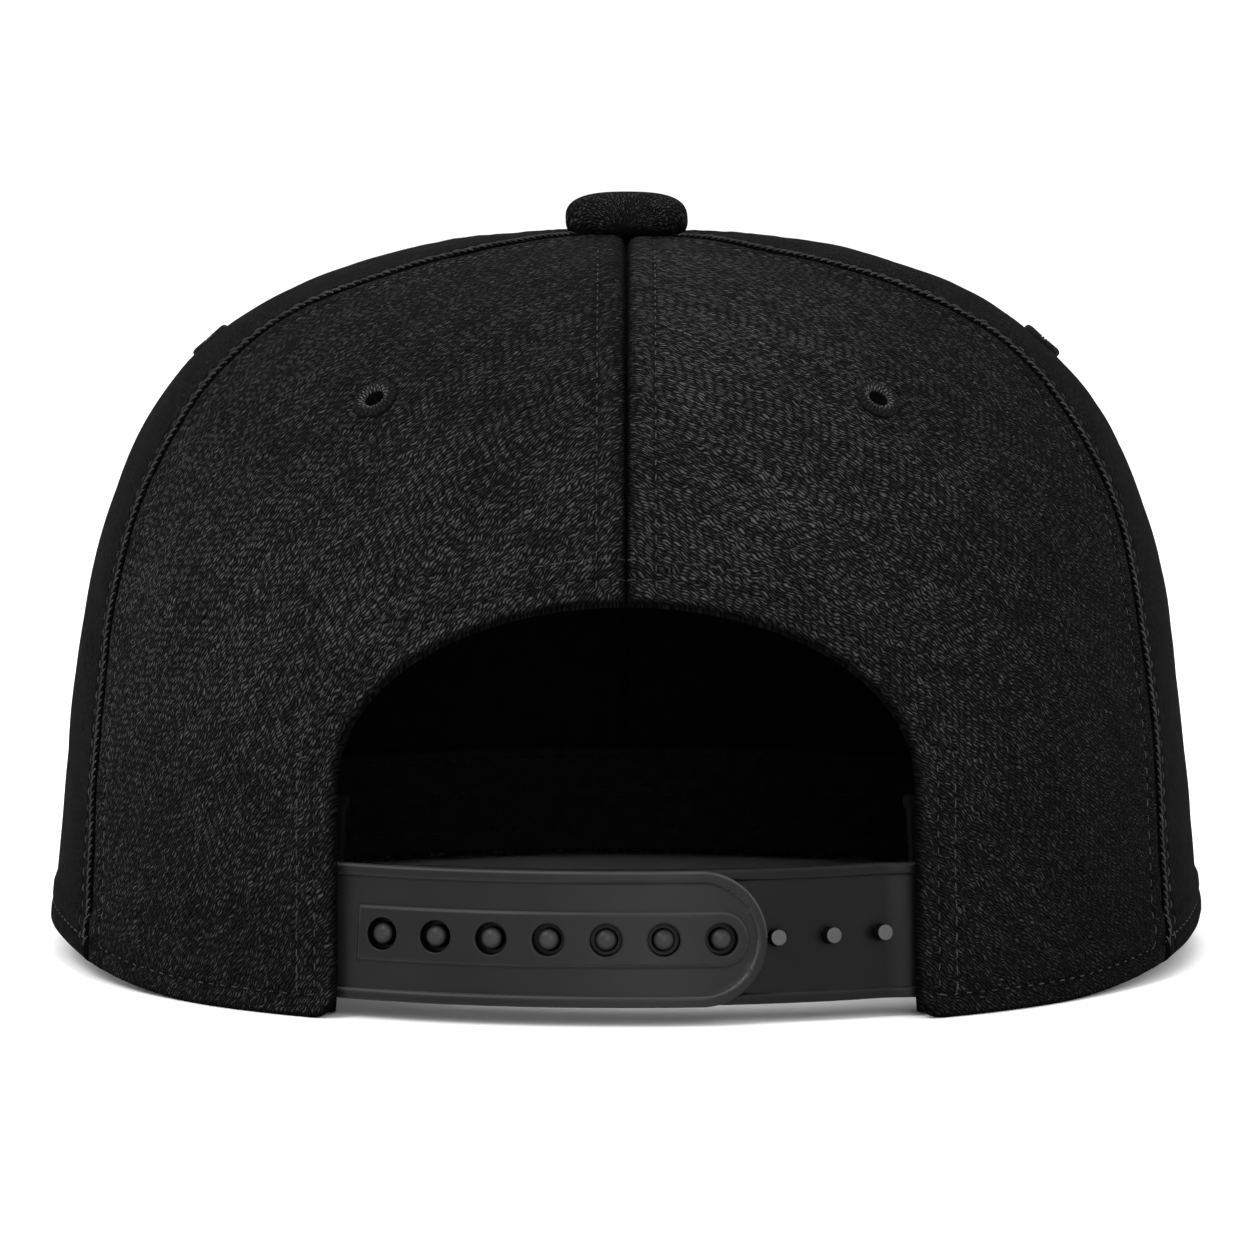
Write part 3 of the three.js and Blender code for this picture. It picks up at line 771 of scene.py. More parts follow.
@dataclass
class Stitching:
    """Rows of stitches gathered from many seams, each stitch a short thread that dips in at both ends.

    Attributes:
        pitch: distance between stitches.
        length: length of a stitch.
        radius: the thread's.
        lift: height of a stitch's middle over the cloth.
        dip: how far its ends sink.
        slant: degrees from the row.
        fade: share of its paleness that it loses towards its start.
        palest: paleness of the most worn stitch.
        stray: how far off a stitch's direction is, as a spread.
        sizes: the thinnest and the thickest thread, as shares.
        wear: the least and the most wear of a stitch, as shares of the palest.
        sides: corners round the thread.
        rows: middles, directions and normals of the stitches so far.
    """

    pitch: float = 2.4
    length: float = 1.7
    radius: float = 0.15
    lift: float = 0.02
    dip: float = 0.24
    slant: float = 0.0
    fade: float = 0.0
    palest: float = 1.0
    stray: float = 0.06
    sizes: tuple[float, float] = (0.9, 1.08)
    wear: tuple[float, float] = (0.25, 1.0)
    sides: int = 6
    rows: list[tuple[Array, Array, Array]] = field(default_factory=list)

    def add(self, points: Array, normals: Array, offset: float = 0.0, lean: float = 1.0) -> None:
        """Lay stitches along a line.

        Args:
            points: the line on the finished surface, (count, 3).
            normals: the surface's normals there.
            offset: share of a pitch to start late by.
            lean: 1 or -1, the way that slanting stitches lean.
        """
        total = lengths(points)[-1]
        count = int(total / self.pitch - offset)
        if count < 1:
            return
        at = (np.arange(count) + 0.5 + offset) * self.pitch
        middle, normal = along_line(points, at, normals)
        tangent = unit(along_line(points, at + 0.2)[0] - along_line(points, at - 0.2)[0])
        turn = np.radians(self.slant) * lean
        tangent = np.cos(turn) * tangent + np.sin(turn) * np.cross(unit(normal), tangent)
        self.rows.append((middle, tangent, unit(normal)))

    def shape(self) -> Shape:
        """All stitches as one shape.

        Formula: rings round a centre line that sinks with the square of the distance from its middle;
        a ring's radius is the thread's, tapered towards both ends.

        Returns:
            The shape; the weave place holds the distance along the thread and round it, and its paleness.
        """
        middle, tangent, normal = (np.concatenate(part) for part in zip(*self.rows))
        draw = np.random.default_rng(STITCH_SEED)
        tilt = draw.normal(0, self.stray, (len(middle), 1))
        size = draw.uniform(*self.sizes, (len(middle), 1, 1, 1))
        across = np.cross(normal, tangent)
        tangent = unit(tangent + tilt * across)
        across = np.cross(normal, tangent)
        t = STITCH_SPAN[:, None]
        thick = self.radius * STITCH_TAPER[:, None, None]
        angle = np.linspace(0, 2 * np.pi, self.sides, endpoint=False)
        centre = middle[:, None] + (self.length / 2) * t * tangent[:, None]
        centre = centre + (self.lift - self.dip * t**2) * normal[:, None]
        ring = np.cos(angle)[:, None] * across[:, None, None] + np.sin(angle)[:, None] * normal[:, None, None]
        rings = centre[:, :, None] + size * thick * ring
        count, parts, sides = rings.shape[:3]
        index = np.arange(count * parts * sides).reshape(count, parts, sides)
        moved = np.roll(index, -1, axis=2)
        quads = np.stack([index[:, :-1], moved[:, :-1], moved[:, 1:], index[:, 1:]], -1).reshape(-1, 4)
        caps = np.concatenate([index[:, 0, ::-1], index[:, -1]])
        ply = t * self.length / 2 + 10.0 * tilt[:, :, None]
        own = self.palest * draw.uniform(*self.wear, (len(middle), 1, 1)) ** 1.3
        pale = own * lerp(1.0, (0.5 + 0.5 * t) ** 2, self.fade)
        place = np.stack(np.broadcast_arrays(ply, angle * self.radius, pale), -1)
        return Shape(rings.reshape(-1, 3), [quads, caps], weave=place.reshape(-1, 3)).outward()


class Nodes:
    """Short hand for building one material's node tree."""

    def __init__(self, name: str) -> None:
        """Start an empty material with a Principled shader."""
        self.material = bpy.data.materials.new(name)
        self.material.use_nodes = True
        self.tree = self.material.node_tree
        self.shader = self.tree.nodes["Principled BSDF"]

    def make(self, kind: str, **settings: object) -> bpy.types.Node:
        """A new node with its settings."""
        node = self.tree.nodes.new(kind)
        for key, value in settings.items():
            setattr(node, key, value)
        return node

    def feed(self, socket: Socket, value: object) -> None:
        """Link a socket, or set it when the value is a plain number or colour."""
        if isinstance(value, Socket):
            self.tree.links.new(value, socket)
        else:
            socket.default_value = value

    def math(self, operation: str, *values: object) -> Socket:
        """A Math node's result."""
        node = self.make("ShaderNodeMath", operation=operation)
        for socket, value in zip(node.inputs, values):
            self.feed(socket, value)
        return node.outputs[0]

    def times(self, *values: object) -> Socket:
        """The product of several values."""
        return reduce(lambda a, b: self.math("MULTIPLY", a, b), values)

    def plus(self, *values: object) -> Socket:
        """The sum of several values."""
        return reduce(lambda a, b: self.math("ADD", a, b), values)

    def arch(self, count: Socket, steep: float) -> Socket:
        """A parabola over each whole step of a count: 1, less steep times the square of the offset."""
        offset = self.math("SUBTRACT", self.math("FRACT", count), 0.5)
        return self.math("SUBTRACT", 1.0, self.times(offset, offset, steep))

    def wave(self, phase: Socket) -> Socket:
        """Half a sine over a half, from 0 to 1."""
        return self.plus(self.times(phase, 0.5), 0.5)

    def place(self) -> Socket:
        """The piece's place on its flat surface, in millimetres, as a vector."""
        return self.make("ShaderNodeUVMap", uv_map="weave").outputs[0]

    def space(self) -> Socket:
        """The piece's own coordinates, in metres."""
        return self.make("ShaderNodeTexCoord").outputs["Object"]

    def paleness(self) -> Socket:
        """The piece's own paleness at a place, as a share, painted light and shade included."""
        return self.make("ShaderNodeAttribute", attribute_name="paleness").outputs["Fac"]

    def noise(self, vector: Socket, scale: float, detail: float = 2.0, rough: float = 0.5) -> Socket:
        """A noise texture's value, about 0.5 on average."""
        node = self.make("ShaderNodeTexNoise")
        self.feed(node.inputs["Vector"], vector)
        node.inputs["Scale"].default_value = scale
        node.inputs["Detail"].default_value = detail
        node.inputs["Roughness"].default_value = rough
        return node.outputs["Fac"]

    def split(self, vector: Socket) -> tuple[Socket, Socket]:
        """The first two parts of a vector."""
        node = self.make("ShaderNodeSeparateXYZ")
        self.feed(node.inputs[0], vector)
        return node.outputs[0], node.outputs[1]

    def cell_random(self, a: object, b: object) -> Socket:
        """A random value from 0 to 1 for each whole-numbered pair."""
        pair = self.make("ShaderNodeCombineXYZ")
        self.feed(pair.inputs[0], a)
        self.feed(pair.inputs[1], b)
        node = self.make("ShaderNodeTexWhiteNoise", noise_dimensions="2D")
        self.feed(node.inputs["Vector"], pair.outputs[0])
        return node.outputs["Value"]

    def colour(self, share: Socket, *stops: tuple[float, float]) -> None:
        """Give the shader greys by a share from 0 to 1, each a position on a ramp and its lightness."""
        node = self.make("ShaderNodeValToRGB")
        self.feed(node.inputs[0], share)
        ramp = node.color_ramp
        while len(ramp.elements) < len(stops):
            ramp.elements.new(1.0)
        for element, (position, tone) in zip(ramp.elements, stops):
            element.position = position
            element.color = (tone, tone, tone, 1.0)
        self.feed(self.shader.inputs["Base Color"], node.outputs[0])

    def bump(self, height: Socket, distance_mm: float) -> None:
        """Relief of a height from 0 to 1, over a distance in millimetres, on the shader's normal."""
        node = self.make("ShaderNodeBump")
        node.inputs["Strength"].default_value = 1.0
        node.inputs["Distance"].default_value = distance_mm * MM
        self.feed(node.inputs["Height"], height)
        self.feed(self.shader.inputs["Normal"], node.outputs[0])

    def gloss(self, roughness: float, specular: float) -> None:
        """Set the shader's plain numbers on its own sockets."""
        self.shader.inputs["Roughness"].default_value = roughness
        self.shader.inputs["Specular IOR Level"].default_value = specular


@dataclass(frozen=True)
class Twill:
    """Worn black cotton twill: fine raised ribs broken into short, wavy, unevenly bright streaks."""

    name: str
    dark: float = 0.0004
    middle: float = 0.0082
    light: float = 0.046
    rib: float = 0.47
    streak: float = 1.4
    sway: float = 2.0
    shake: float = 0.7
    late: float = 5.0
    relief: float = 0.15
    roughness: float = 0.9
    specular: float = 0.01

    def material(self) -> Material:
        """The finish.

        Formula: the place on the cloth, bent by noise, is cut into ribs across and streaks along them,
        each rib's streaks moved on by a random length. A streak's height is a parabola across times one
        along, and its lightness is a power of its height, a painted highlight on each crest and painted
        shade between the ribs, times a random value of its own, a fine grain, a slow patchiness and the
        piece's own paleness, which carries more painted light and shade.

        Returns:
            The material.
        """
        n = Nodes(self.name)
        place = n.place()
        across, along = n.split(place)
        sway = n.times(n.math("SUBTRACT", n.noise(place, 0.2, 2.0), 0.5), self.sway)
        shake = n.times(n.math("SUBTRACT", n.noise(place, 0.8, 1.0), 0.5), self.shake)
        ribs = n.math("DIVIDE", n.plus(across, n.plus(sway, shake)), self.rib)
        rib = n.math("FLOOR", ribs)
        late = n.times(n.cell_random(rib, 3.7), self.late)
        streaks = n.plus(n.math("DIVIDE", along, self.streak), n.plus(late, shake))
        height = n.times(n.arch(ribs, 3.7), n.arch(streaks, 1.9))
        chance = n.plus(0.4, n.times(n.cell_random(rib, n.math("FLOOR", streaks)), 0.6))
        grain = n.noise(place, 3.0, 2.0, 0.7)
        patch = n.plus(0.7, n.times(n.noise(place, 0.07, 3.0, 0.6), 0.6))
        # Lightness follows the rib's height: a painted highlight on the crests and painted shade between
        # ribs.
        light = n.times(n.math("POWER", height, 1.7), chance, n.times(grain, 2.0), patch, n.paleness())
        n.colour(light, (0.0, self.dark), (0.4, self.middle), (1.0, self.light))
        n.bump(n.plus(height, n.times(grain, 0.4)), self.relief)
        n.gloss(self.roughness, self.specular)
        return n.material


@dataclass(frozen=True)
class PlainWeave:
    """Black lining and tape: a fine plain weave that hardly shines."""

    name: str
    dark: float = 0.0012
    light: float = 0.014
    thread: float = 0.42
    relief: float = 0.07

    def material(self) -> Material:
        """The finish: the product of two sines, one of each thread direction, with a slow noise."""
        n = Nodes(self.name)
        place = n.place()
        across, along = n.split(place)
        waves = [n.math("SINE", n.times(part, 2 * np.pi / self.thread)) for part in (across, along)]
        weave = n.wave(n.times(*waves))
        light = n.times(weave, n.noise(place, 0.3, 3.0, 0.6), n.paleness())
        n.colour(light, (0.0, self.dark), (0.6, self.light))
        n.bump(weave, self.relief)
        n.gloss(0.95, 0.05)
        return n.material


@dataclass(frozen=True)
class Thread:
    """Black sewing thread: twisted plies with a soft shine."""

    name: str
    dark: float = 0.005
    light: float = 0.032
    twist: float = 0.34
    roughness: float = 0.6
    specular: float = 0.15

    def material(self) -> Material:
        """The finish: slanting stripes along and round the thread, over an uneven base."""
        n = Nodes(self.name)
        place = n.place()
        along, around = n.split(place)
        slant = n.plus(n.times(along, 2 * np.pi / self.twist), n.times(around, 8.0))
        ply = n.wave(n.math("SINE", slant))
        light = n.times(ply, n.plus(0.4, n.noise(place, 0.35, 2.0)), n.paleness())
        n.colour(light, (0.0, self.dark), (1.0, self.light))
        n.bump(ply, 0.03)
        n.gloss(self.roughness, self.specular)
        return n.material


@dataclass(frozen=True)
class MouldedPlastic:
    """Dark grey moulded plastic, satin, with a faint grain, painted highlights on its edges and peg tops, and
    painted shade in its holes and round its pegs.
    """

    name: str
    tone: float = 0.0072
    palest: float = 0.12
    roughness: float = 0.36
    specular: float = 0.11

    def material(self) -> Material:
        """The finish: the tone times a slow noise and the paleness, which carries the painted highlights and
        shade, and a fine noise for the grain.
        """
        n = Nodes(self.name)
        place = n.space()
        rub = n.plus(0.7, n.times(n.noise(place, 90.0, 4.0, 0.6), 0.6))
        light = n.times(rub, self.tone / self.palest, n.paleness())
        n.colour(light, (0.0, 0.0), (1.0, self.palest))
        n.bump(n.noise(place, 2600.0, 2.0), 0.006)
        n.gloss(self.roughness, self.specular)
        rough = n.plus(self.roughness - 0.05, n.times(n.noise(place, 260.0, 3.0), 0.1))
        n.feed(n.shader.inputs["Roughness"], rough)
        return n.material


@dataclass(frozen=True)
class Wardrobe:
    """Every finish of the cap."""

    twill: Material
    lining: Material
    thread: Material
    whipping: Material
    embroidery: Material
    plastic: Material

    @staticmethod
    def made() -> "Wardrobe":
        """Make the finishes."""
        return Wardrobe(
            Twill("black_twill").material(),
            PlainWeave("black_lining").material(),
            Thread("black_stitching").material(),
            Thread("worn_black_whipping", 0.008, 0.06, specular=0.1).material(),
            Thread("black_embroidery", 0.0015, 0.07, roughness=0.7, specular=0.06).material(),
            MouldedPlastic("strap_plastic").material(),
        )


def dress(piece: Piece, slot: str, *nodes: str) -> Piece:
    """Put a piece on the cap's body, in place of its solids.

    Args:
        piece: the piece.
        slot: the record's material slot; not used.
        nodes: the solids that it stands for.

    Returns:
        The piece.
    """
    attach(piece, "root")
    if nodes:
        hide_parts(*nodes)
    LOG.info("%s: %d faces", piece.name, len(piece.data.polygons))
    return piece


@dataclass
class Panel:
    """One of the crown's six cloth panels.

    Attributes:
        crown: the crown's form.
        name: the node that it stands for.
        start: azimuth of its first seam at the rim, in degrees.
        end: azimuth of its second seam.
        grain: turn of the cloth's warp from upright, in degrees.
        folds: how the cloth turns in at the first and the second seam.
        paleness: how pale its cloth is from the rim up, as a share of the palest place; this is painted
            shading, darker at the rim, in place of the light's fall over the crown.
        fade: share of paleness that it loses on both sides of the seam between back and side, as painted
            shade towards the sides.
        eyelet: rise of its eyelet.
        opening: the arched opening, for a back panel.
        wall: thickness of its cloth.
        top: share of the way up at which it ends, under the button.
        arch_row: distance of the second row of stitches from the opening.
        eyelet_hole: radius of the hole in the cloth.
        eyelet_dent: size, radius and width of the dent round the eyelet.
        row_clear: how far rows of stitches keep from the middle of the button, and from the rim.
        whip_clear: the same for slanting stitches.
        whip_edge: distance of the slanting stitches from the seam.
        sunk: depth of the slight hollow over the rim beside the opening.
        inner_ridge: size and width of the inner face's dent along a seam.
        turned_in: shares of the wall by which the outer and the inner face close in round the hem.
        heights: shares of the crown's height at which paleness is given.
    """

    crown: Crown
    name: str
    start: float
    end: float
    grain: float
    folds: tuple[Fold, Fold]
    paleness: tuple[float, float, float]
    fade: float = 0.0
    eyelet: float = 0.84
    opening: Optional[Opening] = None
    wall: float = 1.65
    top: float = 0.994
    arch_row: float = 6.3
    eyelet_hole: float = 2.0
    eyelet_dent: tuple[float, float, float] = (0.4, 3.25, 0.45)
    row_clear: tuple[float, float] = (10.5, 1.6)
    whip_clear: tuple[float, float] = (9.8, 2.2)
    whip_edge: float = 0.64
    sunk: float = 0.12
    inner_ridge: tuple[float, float] = (0.22, 0.6)
    turned_in: tuple[float, float] = (0.55, 0.38)
    heights: tuple[float, float, float] = (0.05, 0.5, 0.85)
    seam_form: SeamForm = field(default_factory=SeamForm)

    def __post_init__(self) -> None:
        """Work out the panel's borders in space."""
        share = np.linspace(0, self.top, 700)
        self.seam_lines = [self.crown.seam(degrees, share) for degrees in (self.start, self.end)]
        self.seam_points = [self.crown.spot(line) for line in self.seam_lines]
        self.middle = np.radians((self.start + self.end) / 2)
        self.heart = 0.5 * heading(self.middle)
        if self.opening:
            self.way = 1.0 if self.middle > 0 else -1.0
            mirror = np.array([self.way, 1.0])
            edge = self.opening.edge(self.crown) * mirror
            sill = self.opening.sill(self.crown, abs(self.outer_seam())) * mirror
            self.hem_line = np.concatenate([edge, sill[1:]])
            self.arch_line = self.opening.upright(self.crown) * mirror
            self.edges = (edge, sill)
            self.hem_form = HemForm(width=6.9, proud=0.45)
        else:
            self.hem_line = heading(np.radians(np.linspace(self.start, self.end, 400)))
            self.hem_form = HemForm()
        self.hem_points = self.crown.spot(self.hem_line)
        self.seat = self.crown.plane(np.array(self.middle), np.array(self.eyelet))

    def outer_seam(self) -> float:
        """Azimuth in degrees of the seam away from the cap's middle plane."""
        return self.end if abs(self.end) > abs(self.start) else self.start

    def side_patch(self, u: Array, v: Array) -> Array:
        """Places on the disc of a whole gore: the azimuth runs between the seams, the share rises."""
        share = v * self.top
        ends = [self.crown.seam(degrees, share) for degrees in (self.start, self.end)]
        angles = [np.arctan2(end[..., 0], -end[..., 1]) for end in ends]
        angles[1] = np.where(angles[1] < angles[0] - 1e-6, angles[1] + 2 * np.pi, angles[1])
        azimuth = lerp(angles[0], angles[1], u)
        return (1 - share)[..., None] * heading(azimuth)

    def back_patch(self, u: Array, v: Array) -> Array:
        """Places on the disc of a panel beside the opening.

        Formula: a Coons patch, the sum of the straight blends between each pair of facing borders less
        the blend of the four corners. u runs from the centre seam to the rim, v from the opening to the
        side seam.
        """
        edge, sill = self.edges
        seams = self.seam_lines if self.way > 0 else self.seam_lines[::-1]
        start = np.linalg.norm(edge[0])
        centre = seams[0][np.hypot(*seams[0].T) < start]
        centre = np.concatenate([edge[:1], centre])
        side = seams[1][::-1]

        def flat(line: Array, at: Array) -> Array:
            """Places along a border, by the share of its length in space."""
            points = self.crown.spot(line)
            return along_line(points, at.ravel() * lengths(points)[-1], line)[1].reshape(*at.shape, 2)

        c0, c1, d0, d1 = flat(edge, u), flat(side, u), flat(centre, v), flat(sill, v)
        u, v = u[..., None], v[..., None]
        corners = lerp(lerp(edge[0], edge[-1], u), lerp(side[0], side[-1], u), v)
        return lerp(c0, c1, v) + lerp(d0, d1, u) - corners

    def places(self) -> Array:
        """The panel's grid of places on the disc, closely spaced along seams and hems."""
        patch = self.back_patch if self.opening else self.side_patch
        u, v = np.meshgrid(np.linspace(0, 1, 260), np.linspace(0, 1, 260))
        dense = patch(u, v)
        first, last = (SEAM_MARKS, HEM_MARKS) if self.opening else (SEAM_MARKS, SEAM_MARKS)
        low, high = (HEM_MARKS, SEAM_MARKS) if self.opening else (HEM_MARKS, np.array([0.0, 1.0]))
        across, up = (104, 66) if self.opening else (64, 96)
        params = respaced(self.crown.spot(dense), np.stack([u, v], -1), first, last, across)
        points = self.crown.spot(patch(params[..., 0], params[..., 1]))
        params = respaced(points.swapaxes(0, 1), params.swapaxes(0, 1), low, high, up).swapaxes(0, 1)
        return patch(params[..., 0], params[..., 1])

    def relief(self, places: Array) -> tuple[Array, Array]:
        """Heights of the cloth's outer face and of its inner face over the plain wall.

        Formula: the sum of the slow unevenness, the hems, the seams and the dent round the eyelet, closed
        in round the hem by its roll.

        Args:
            places: places on the disc, (..., 2).

        Returns:
            Outer heights and inner heights, in millimetres outwards.
        """
        points = self.crown.spot(places)
        hem, along = distance_to(points, self.hem_points)
        outer = undulation(points) + self.hem_form.relief(hem, along)
        inner = np.zeros(hem.shape)
        if self.opening:
            arch, down = distance_to(points, self.crown.spot(self.arch_line))
            outer = outer + HemForm(row=self.arch_row, proud=0.0).relief(arch, down)
            low = smoothstep(arch, 6.5, 12.0) * (1 - smoothstep(points[..., 2], 8.0, 14.0))
            outer = outer - self.sunk * low * smoothstep(hem, 5.5, 8.0)
        roll = self.hem_form.roll(hem)
        for fold, line in zip(self.folds, self.seam_points):
            distance, run = distance_to(points, line)
            outer = outer + self.seam_form.relief(fold, distance, run) * (1 - 0.6 * roll)
            inner = inner + self.inner_ridge[0] * hump(distance, 0, self.inner_ridge[1])
        ring = np.linalg.norm(points - self.crown.spot(self.seat), axis=-1)
        size, radius, width = self.eyelet_dent
        outer = outer - size * hump(ring, radius, width)
        down, up = self.turned_in
        return lerp(outer, -self.wall * down, roll), lerp(inner, self.wall * up, roll)

    def finished(self, places: Array) -> tuple[Array, Array]:
        """Points of the finished outer face, and the plain wall's normals there."""
        normal = self.crown.normal(places)
        outer, _ = self.relief(places)
        return self.crown.spot(places) + outer[..., None] * normal, normal

    def weave(self, places: Array) -> Array:
        """Place on the flat cloth: round from the middle and up from the rim, turned by the grain."""
        azimuth, rise = self.crown.polar(places)
        swing = np.angle(np.exp(1j * (azimuth - self.middle)))
        radius = np.linalg.norm(self.crown.point(azimuth, rise)[..., :2], axis=-1)
        climb = self.crown.rise(np.full(500, self.middle), np.linspace(0, 1, 500))
        up = np.interp(rise, climb, lengths(self.crown.point(np.full(500, self.middle), climb)))
        cos, sin = np.cos(np.radians(self.grain)), np.sin(np.radians(self.grain))
        cloth = np.stack([swing * radius, up], -1) @ np.array([[cos, -sin], [sin, cos]]) + 7.3 * self.start
        return np.concatenate([cloth, self.painted_shading(places)[..., None]], -1)

    def painted_shading(self, places: Array) -> Array:
        """Painted shading of the cloth: the panel's paleness by height and its fade, and painted shade beside
        the seams, in the hem's furrow and on the hem's edge.
        """
        points = self.crown.spot(places)
        height = points[..., 2] / self.crown.height
        turn = np.arccos(np.cos(self.crown.polar(places)[0]))
        # Painted shading by height: darker at the rim than at mid height.
        pale = np.interp(height, self.heights, self.paleness)
        # Painted shade towards the sides, on both sides of the seam between back and side.
        behind, ahead = (smoothstep(turn, *np.radians(ends)) for ends in ((12, 60), (75, 125)))
        pale = pale * (1 - self.fade * behind * (1 - ahead))
        # Painted shade in and beside the seams.
        for fold, line in zip(self.folds, self.seam_points):
            pale = pale * self.seam_form.paleness(fold, distance_to(points, line)[0])
        hem = distance_to(points, self.hem_points)[0]
        # Painted shade in the hem's stitched furrow and on its rolled edge.
        groove = 1 - 0.4 * hump(hem, self.hem_form.row, 0.35)
        return pale * groove * lerp(0.2, 1.0, smoothstep(hem, 0.0, 0.95))

    def build(self, wardrobe: Wardrobe, stitching: Stitching) -> Piece:
        """Make the panel, and lay its rows of stitches.

        Args:
            wardrobe: the cap's finishes.
            stitching: the rows gathered so far.

        Returns:
            The panel.
        """
        places = self.places()
        normal = self.crown.normal(places)
        sides = zip(self.relief(places), (0.0, self.wall))
        face, back = (self.crown.spot(places, inset) + out[..., None] * normal for out, inset in sides)
        for side in (face, back):
            side[..., 2] = np.maximum(side[..., 2], 0)
        middles = (face[:-1, :-1] + face[1:, 1:]) / 2
        keep = np.linalg.norm(middles - self.crown.spot(self.seat), axis=-1) > self.eyelet_hole
        shape = closed_shell(face, back, keep, self.weave(places))
        for line in self.rows():
            stitching.add(*self.finished(line))
        piece = shape.build(self.name, [wardrobe.twill, wardrobe.lining])
        return dress(piece, "twill", self.name)

    def whip(self, stitching: Stitching) -> None:
        """Lay slanting stitches over the cloth's folded edge, along a seam where it stands proud."""
        for fold, line, lean in zip(self.folds, self.seam_lines, (1.0, -1.0)):
            if fold is Fold.ROPE:
                edge = self.crown.offset(line[::3], self.whip_edge, self.heart)
                stitching.add(*self.finished(edge[self.clear(edge, *self.whip_clear)]), lean=lean)

    def clear(self, places: Array, radius: float, rise: float) -> Array:
        """Which places on the disc lie beside the button by a radius, and over the rim by a rise."""
        points = self.crown.spot(places)
        rim = self.crown.rim_height(np.arctan2(points[..., 0], -points[..., 1]))
        return (np.hypot(*points.T[:2]) > radius) & (points[..., 2] - rim > rise)

    def rows(self) -> list[Array]:
        """Lines on the disc that stitches follow: beside both seams, and inside the hems."""
        found = []
        for line in self.seam_lines:
            row = self.crown.offset(line[::4], self.seam_form.groove.row, self.heart)
            clear = self.clear(row, *self.row_clear)
            if self.opening:
                points = self.crown.spot(row)
                clear &= (np.abs(points[:, 0]) > 8) | (points[:, 2] > self.opening.height + 0.9)
            found.append(row[clear])
        found.append(self.crown.offset(self.hem_line[::2], self.hem_form.row, self.heart))
        if self.opening:
            second = self.crown.offset(self.arch_line[::2], self.arch_row, self.heart)
            found.append(second[self.crown.spot(second)[:, 2] > 1.2])
        return found


@dataclass
class Eyelet:
    """A stitched eyelet: a ring of radial stitches outside and inside the cloth, joined by its hole.

    Attributes:
        crown: the crown's form.
        panel: the panel that it sits in.
        radius: its outer radius.
        hole: radius of its hole.
        proud: height over the cloth.
        threads: number of radial stitches.
        ridge: height of a thread over the gaps.
        painted_shading: paleness beside the hole and at the outer edge, darker towards the edge as painted
            shade where the ring sinks into its dent.
    """

    crown: Crown
    panel: Panel
    radius: float = 3.4
    hole: float = 1.5
    proud: float = 0.6
    threads: int = 29
    ridge: float = 0.13
    painted_shading: tuple[float, float] = (1.5, 0.08)

    def build(self, wardrobe: Wardrobe) -> Piece:
        """Make the ring.

        Formula: the profile is a closed loop, a flat half ellipse outside, the hole's wall and a half
        ellipse inside. The outer half swells with the cosine of the threads' number times the angle.

        Args:
            wardrobe: the cap's finishes.

        Returns:
            The eyelet.
        """
        seat = self.crown.spot(self.panel.seat)
        axis = self.crown.normal(self.panel.seat)
        sides = 8 * self.threads
        angle = np.linspace(0, 2 * np.pi, sides, endpoint=False)
        turn = np.linspace(0, np.pi, 15)
        half = (self.radius - self.hole) / 2
        middle = self.hole + half
        front = np.stack([middle + half * np.cos(turn), 0.02 + self.proud * np.sin(turn) ** 0.75], -1)
        rear = np.stack([middle - half * np.cos(turn), -1.95 - 0.6 * np.sin(turn)], -1)
        loop = np.concatenate([front, rear])
        radius, height = loop.T
        draw = np.random.default_rng(int(abs(self.panel.start)) + 11)
        jitter = np.interp(angle, np.linspace(0, 2 * np.pi, 24), draw.uniform(-1.4, 1.4, 24))
        jitter = jitter - lerp(jitter[0], jitter[-1], angle / (2 * np.pi))
        ridge = np.cos(self.threads * angle + jitter)
        crest = np.clip(np.concatenate([np.sin(turn) ** 0.5, 0.6 * np.sin(turn)]), 0, 1)
        lift = self.ridge * crest[:, None] * ridge[None] * np.sign(height)[:, None]
        rings = ringed(radius[:, None] + 0 * angle, height[:, None] + lift, angle, seat, axis)
        count = len(loop)
        index = np.arange(count * sides).reshape(count, sides)
        round_it = np.roll(index, -1, axis=1)
        after, after_round = np.roll(index, -1, axis=0), np.roll(round_it, -1, axis=0)
        quads = np.stack([index, round_it, after_round, after], -1).reshape(-1, 4)
        # Painted shade: darker towards the outer edge, where the ring sinks into its dent, and nearly black
        # at its edges, on the hole's wall and on the inner side.
        painted_shading = lerp(*self.painted_shading, smoothstep(radius, self.hole + 0.35, self.hole + 1.2)) * (height > 0.2)
        # Painted shade between the threads, lighter on their crests.
        pale = (0.03 + painted_shading)[:, None] * (0.5 + 0.5 * ridge) ** 1.3
        place = np.stack(np.broadcast_arrays(angle * 0.9, radius[:, None], pale), -1)
        shape = Shape(rings.reshape(-1, 3), [quads], weave=place.reshape(-1, 3)).outward()
        name = self.panel.name.replace("panel", "eyelet")
        piece = shape.build(name, [wardrobe.embroidery])
        return dress(piece, "thread", name)


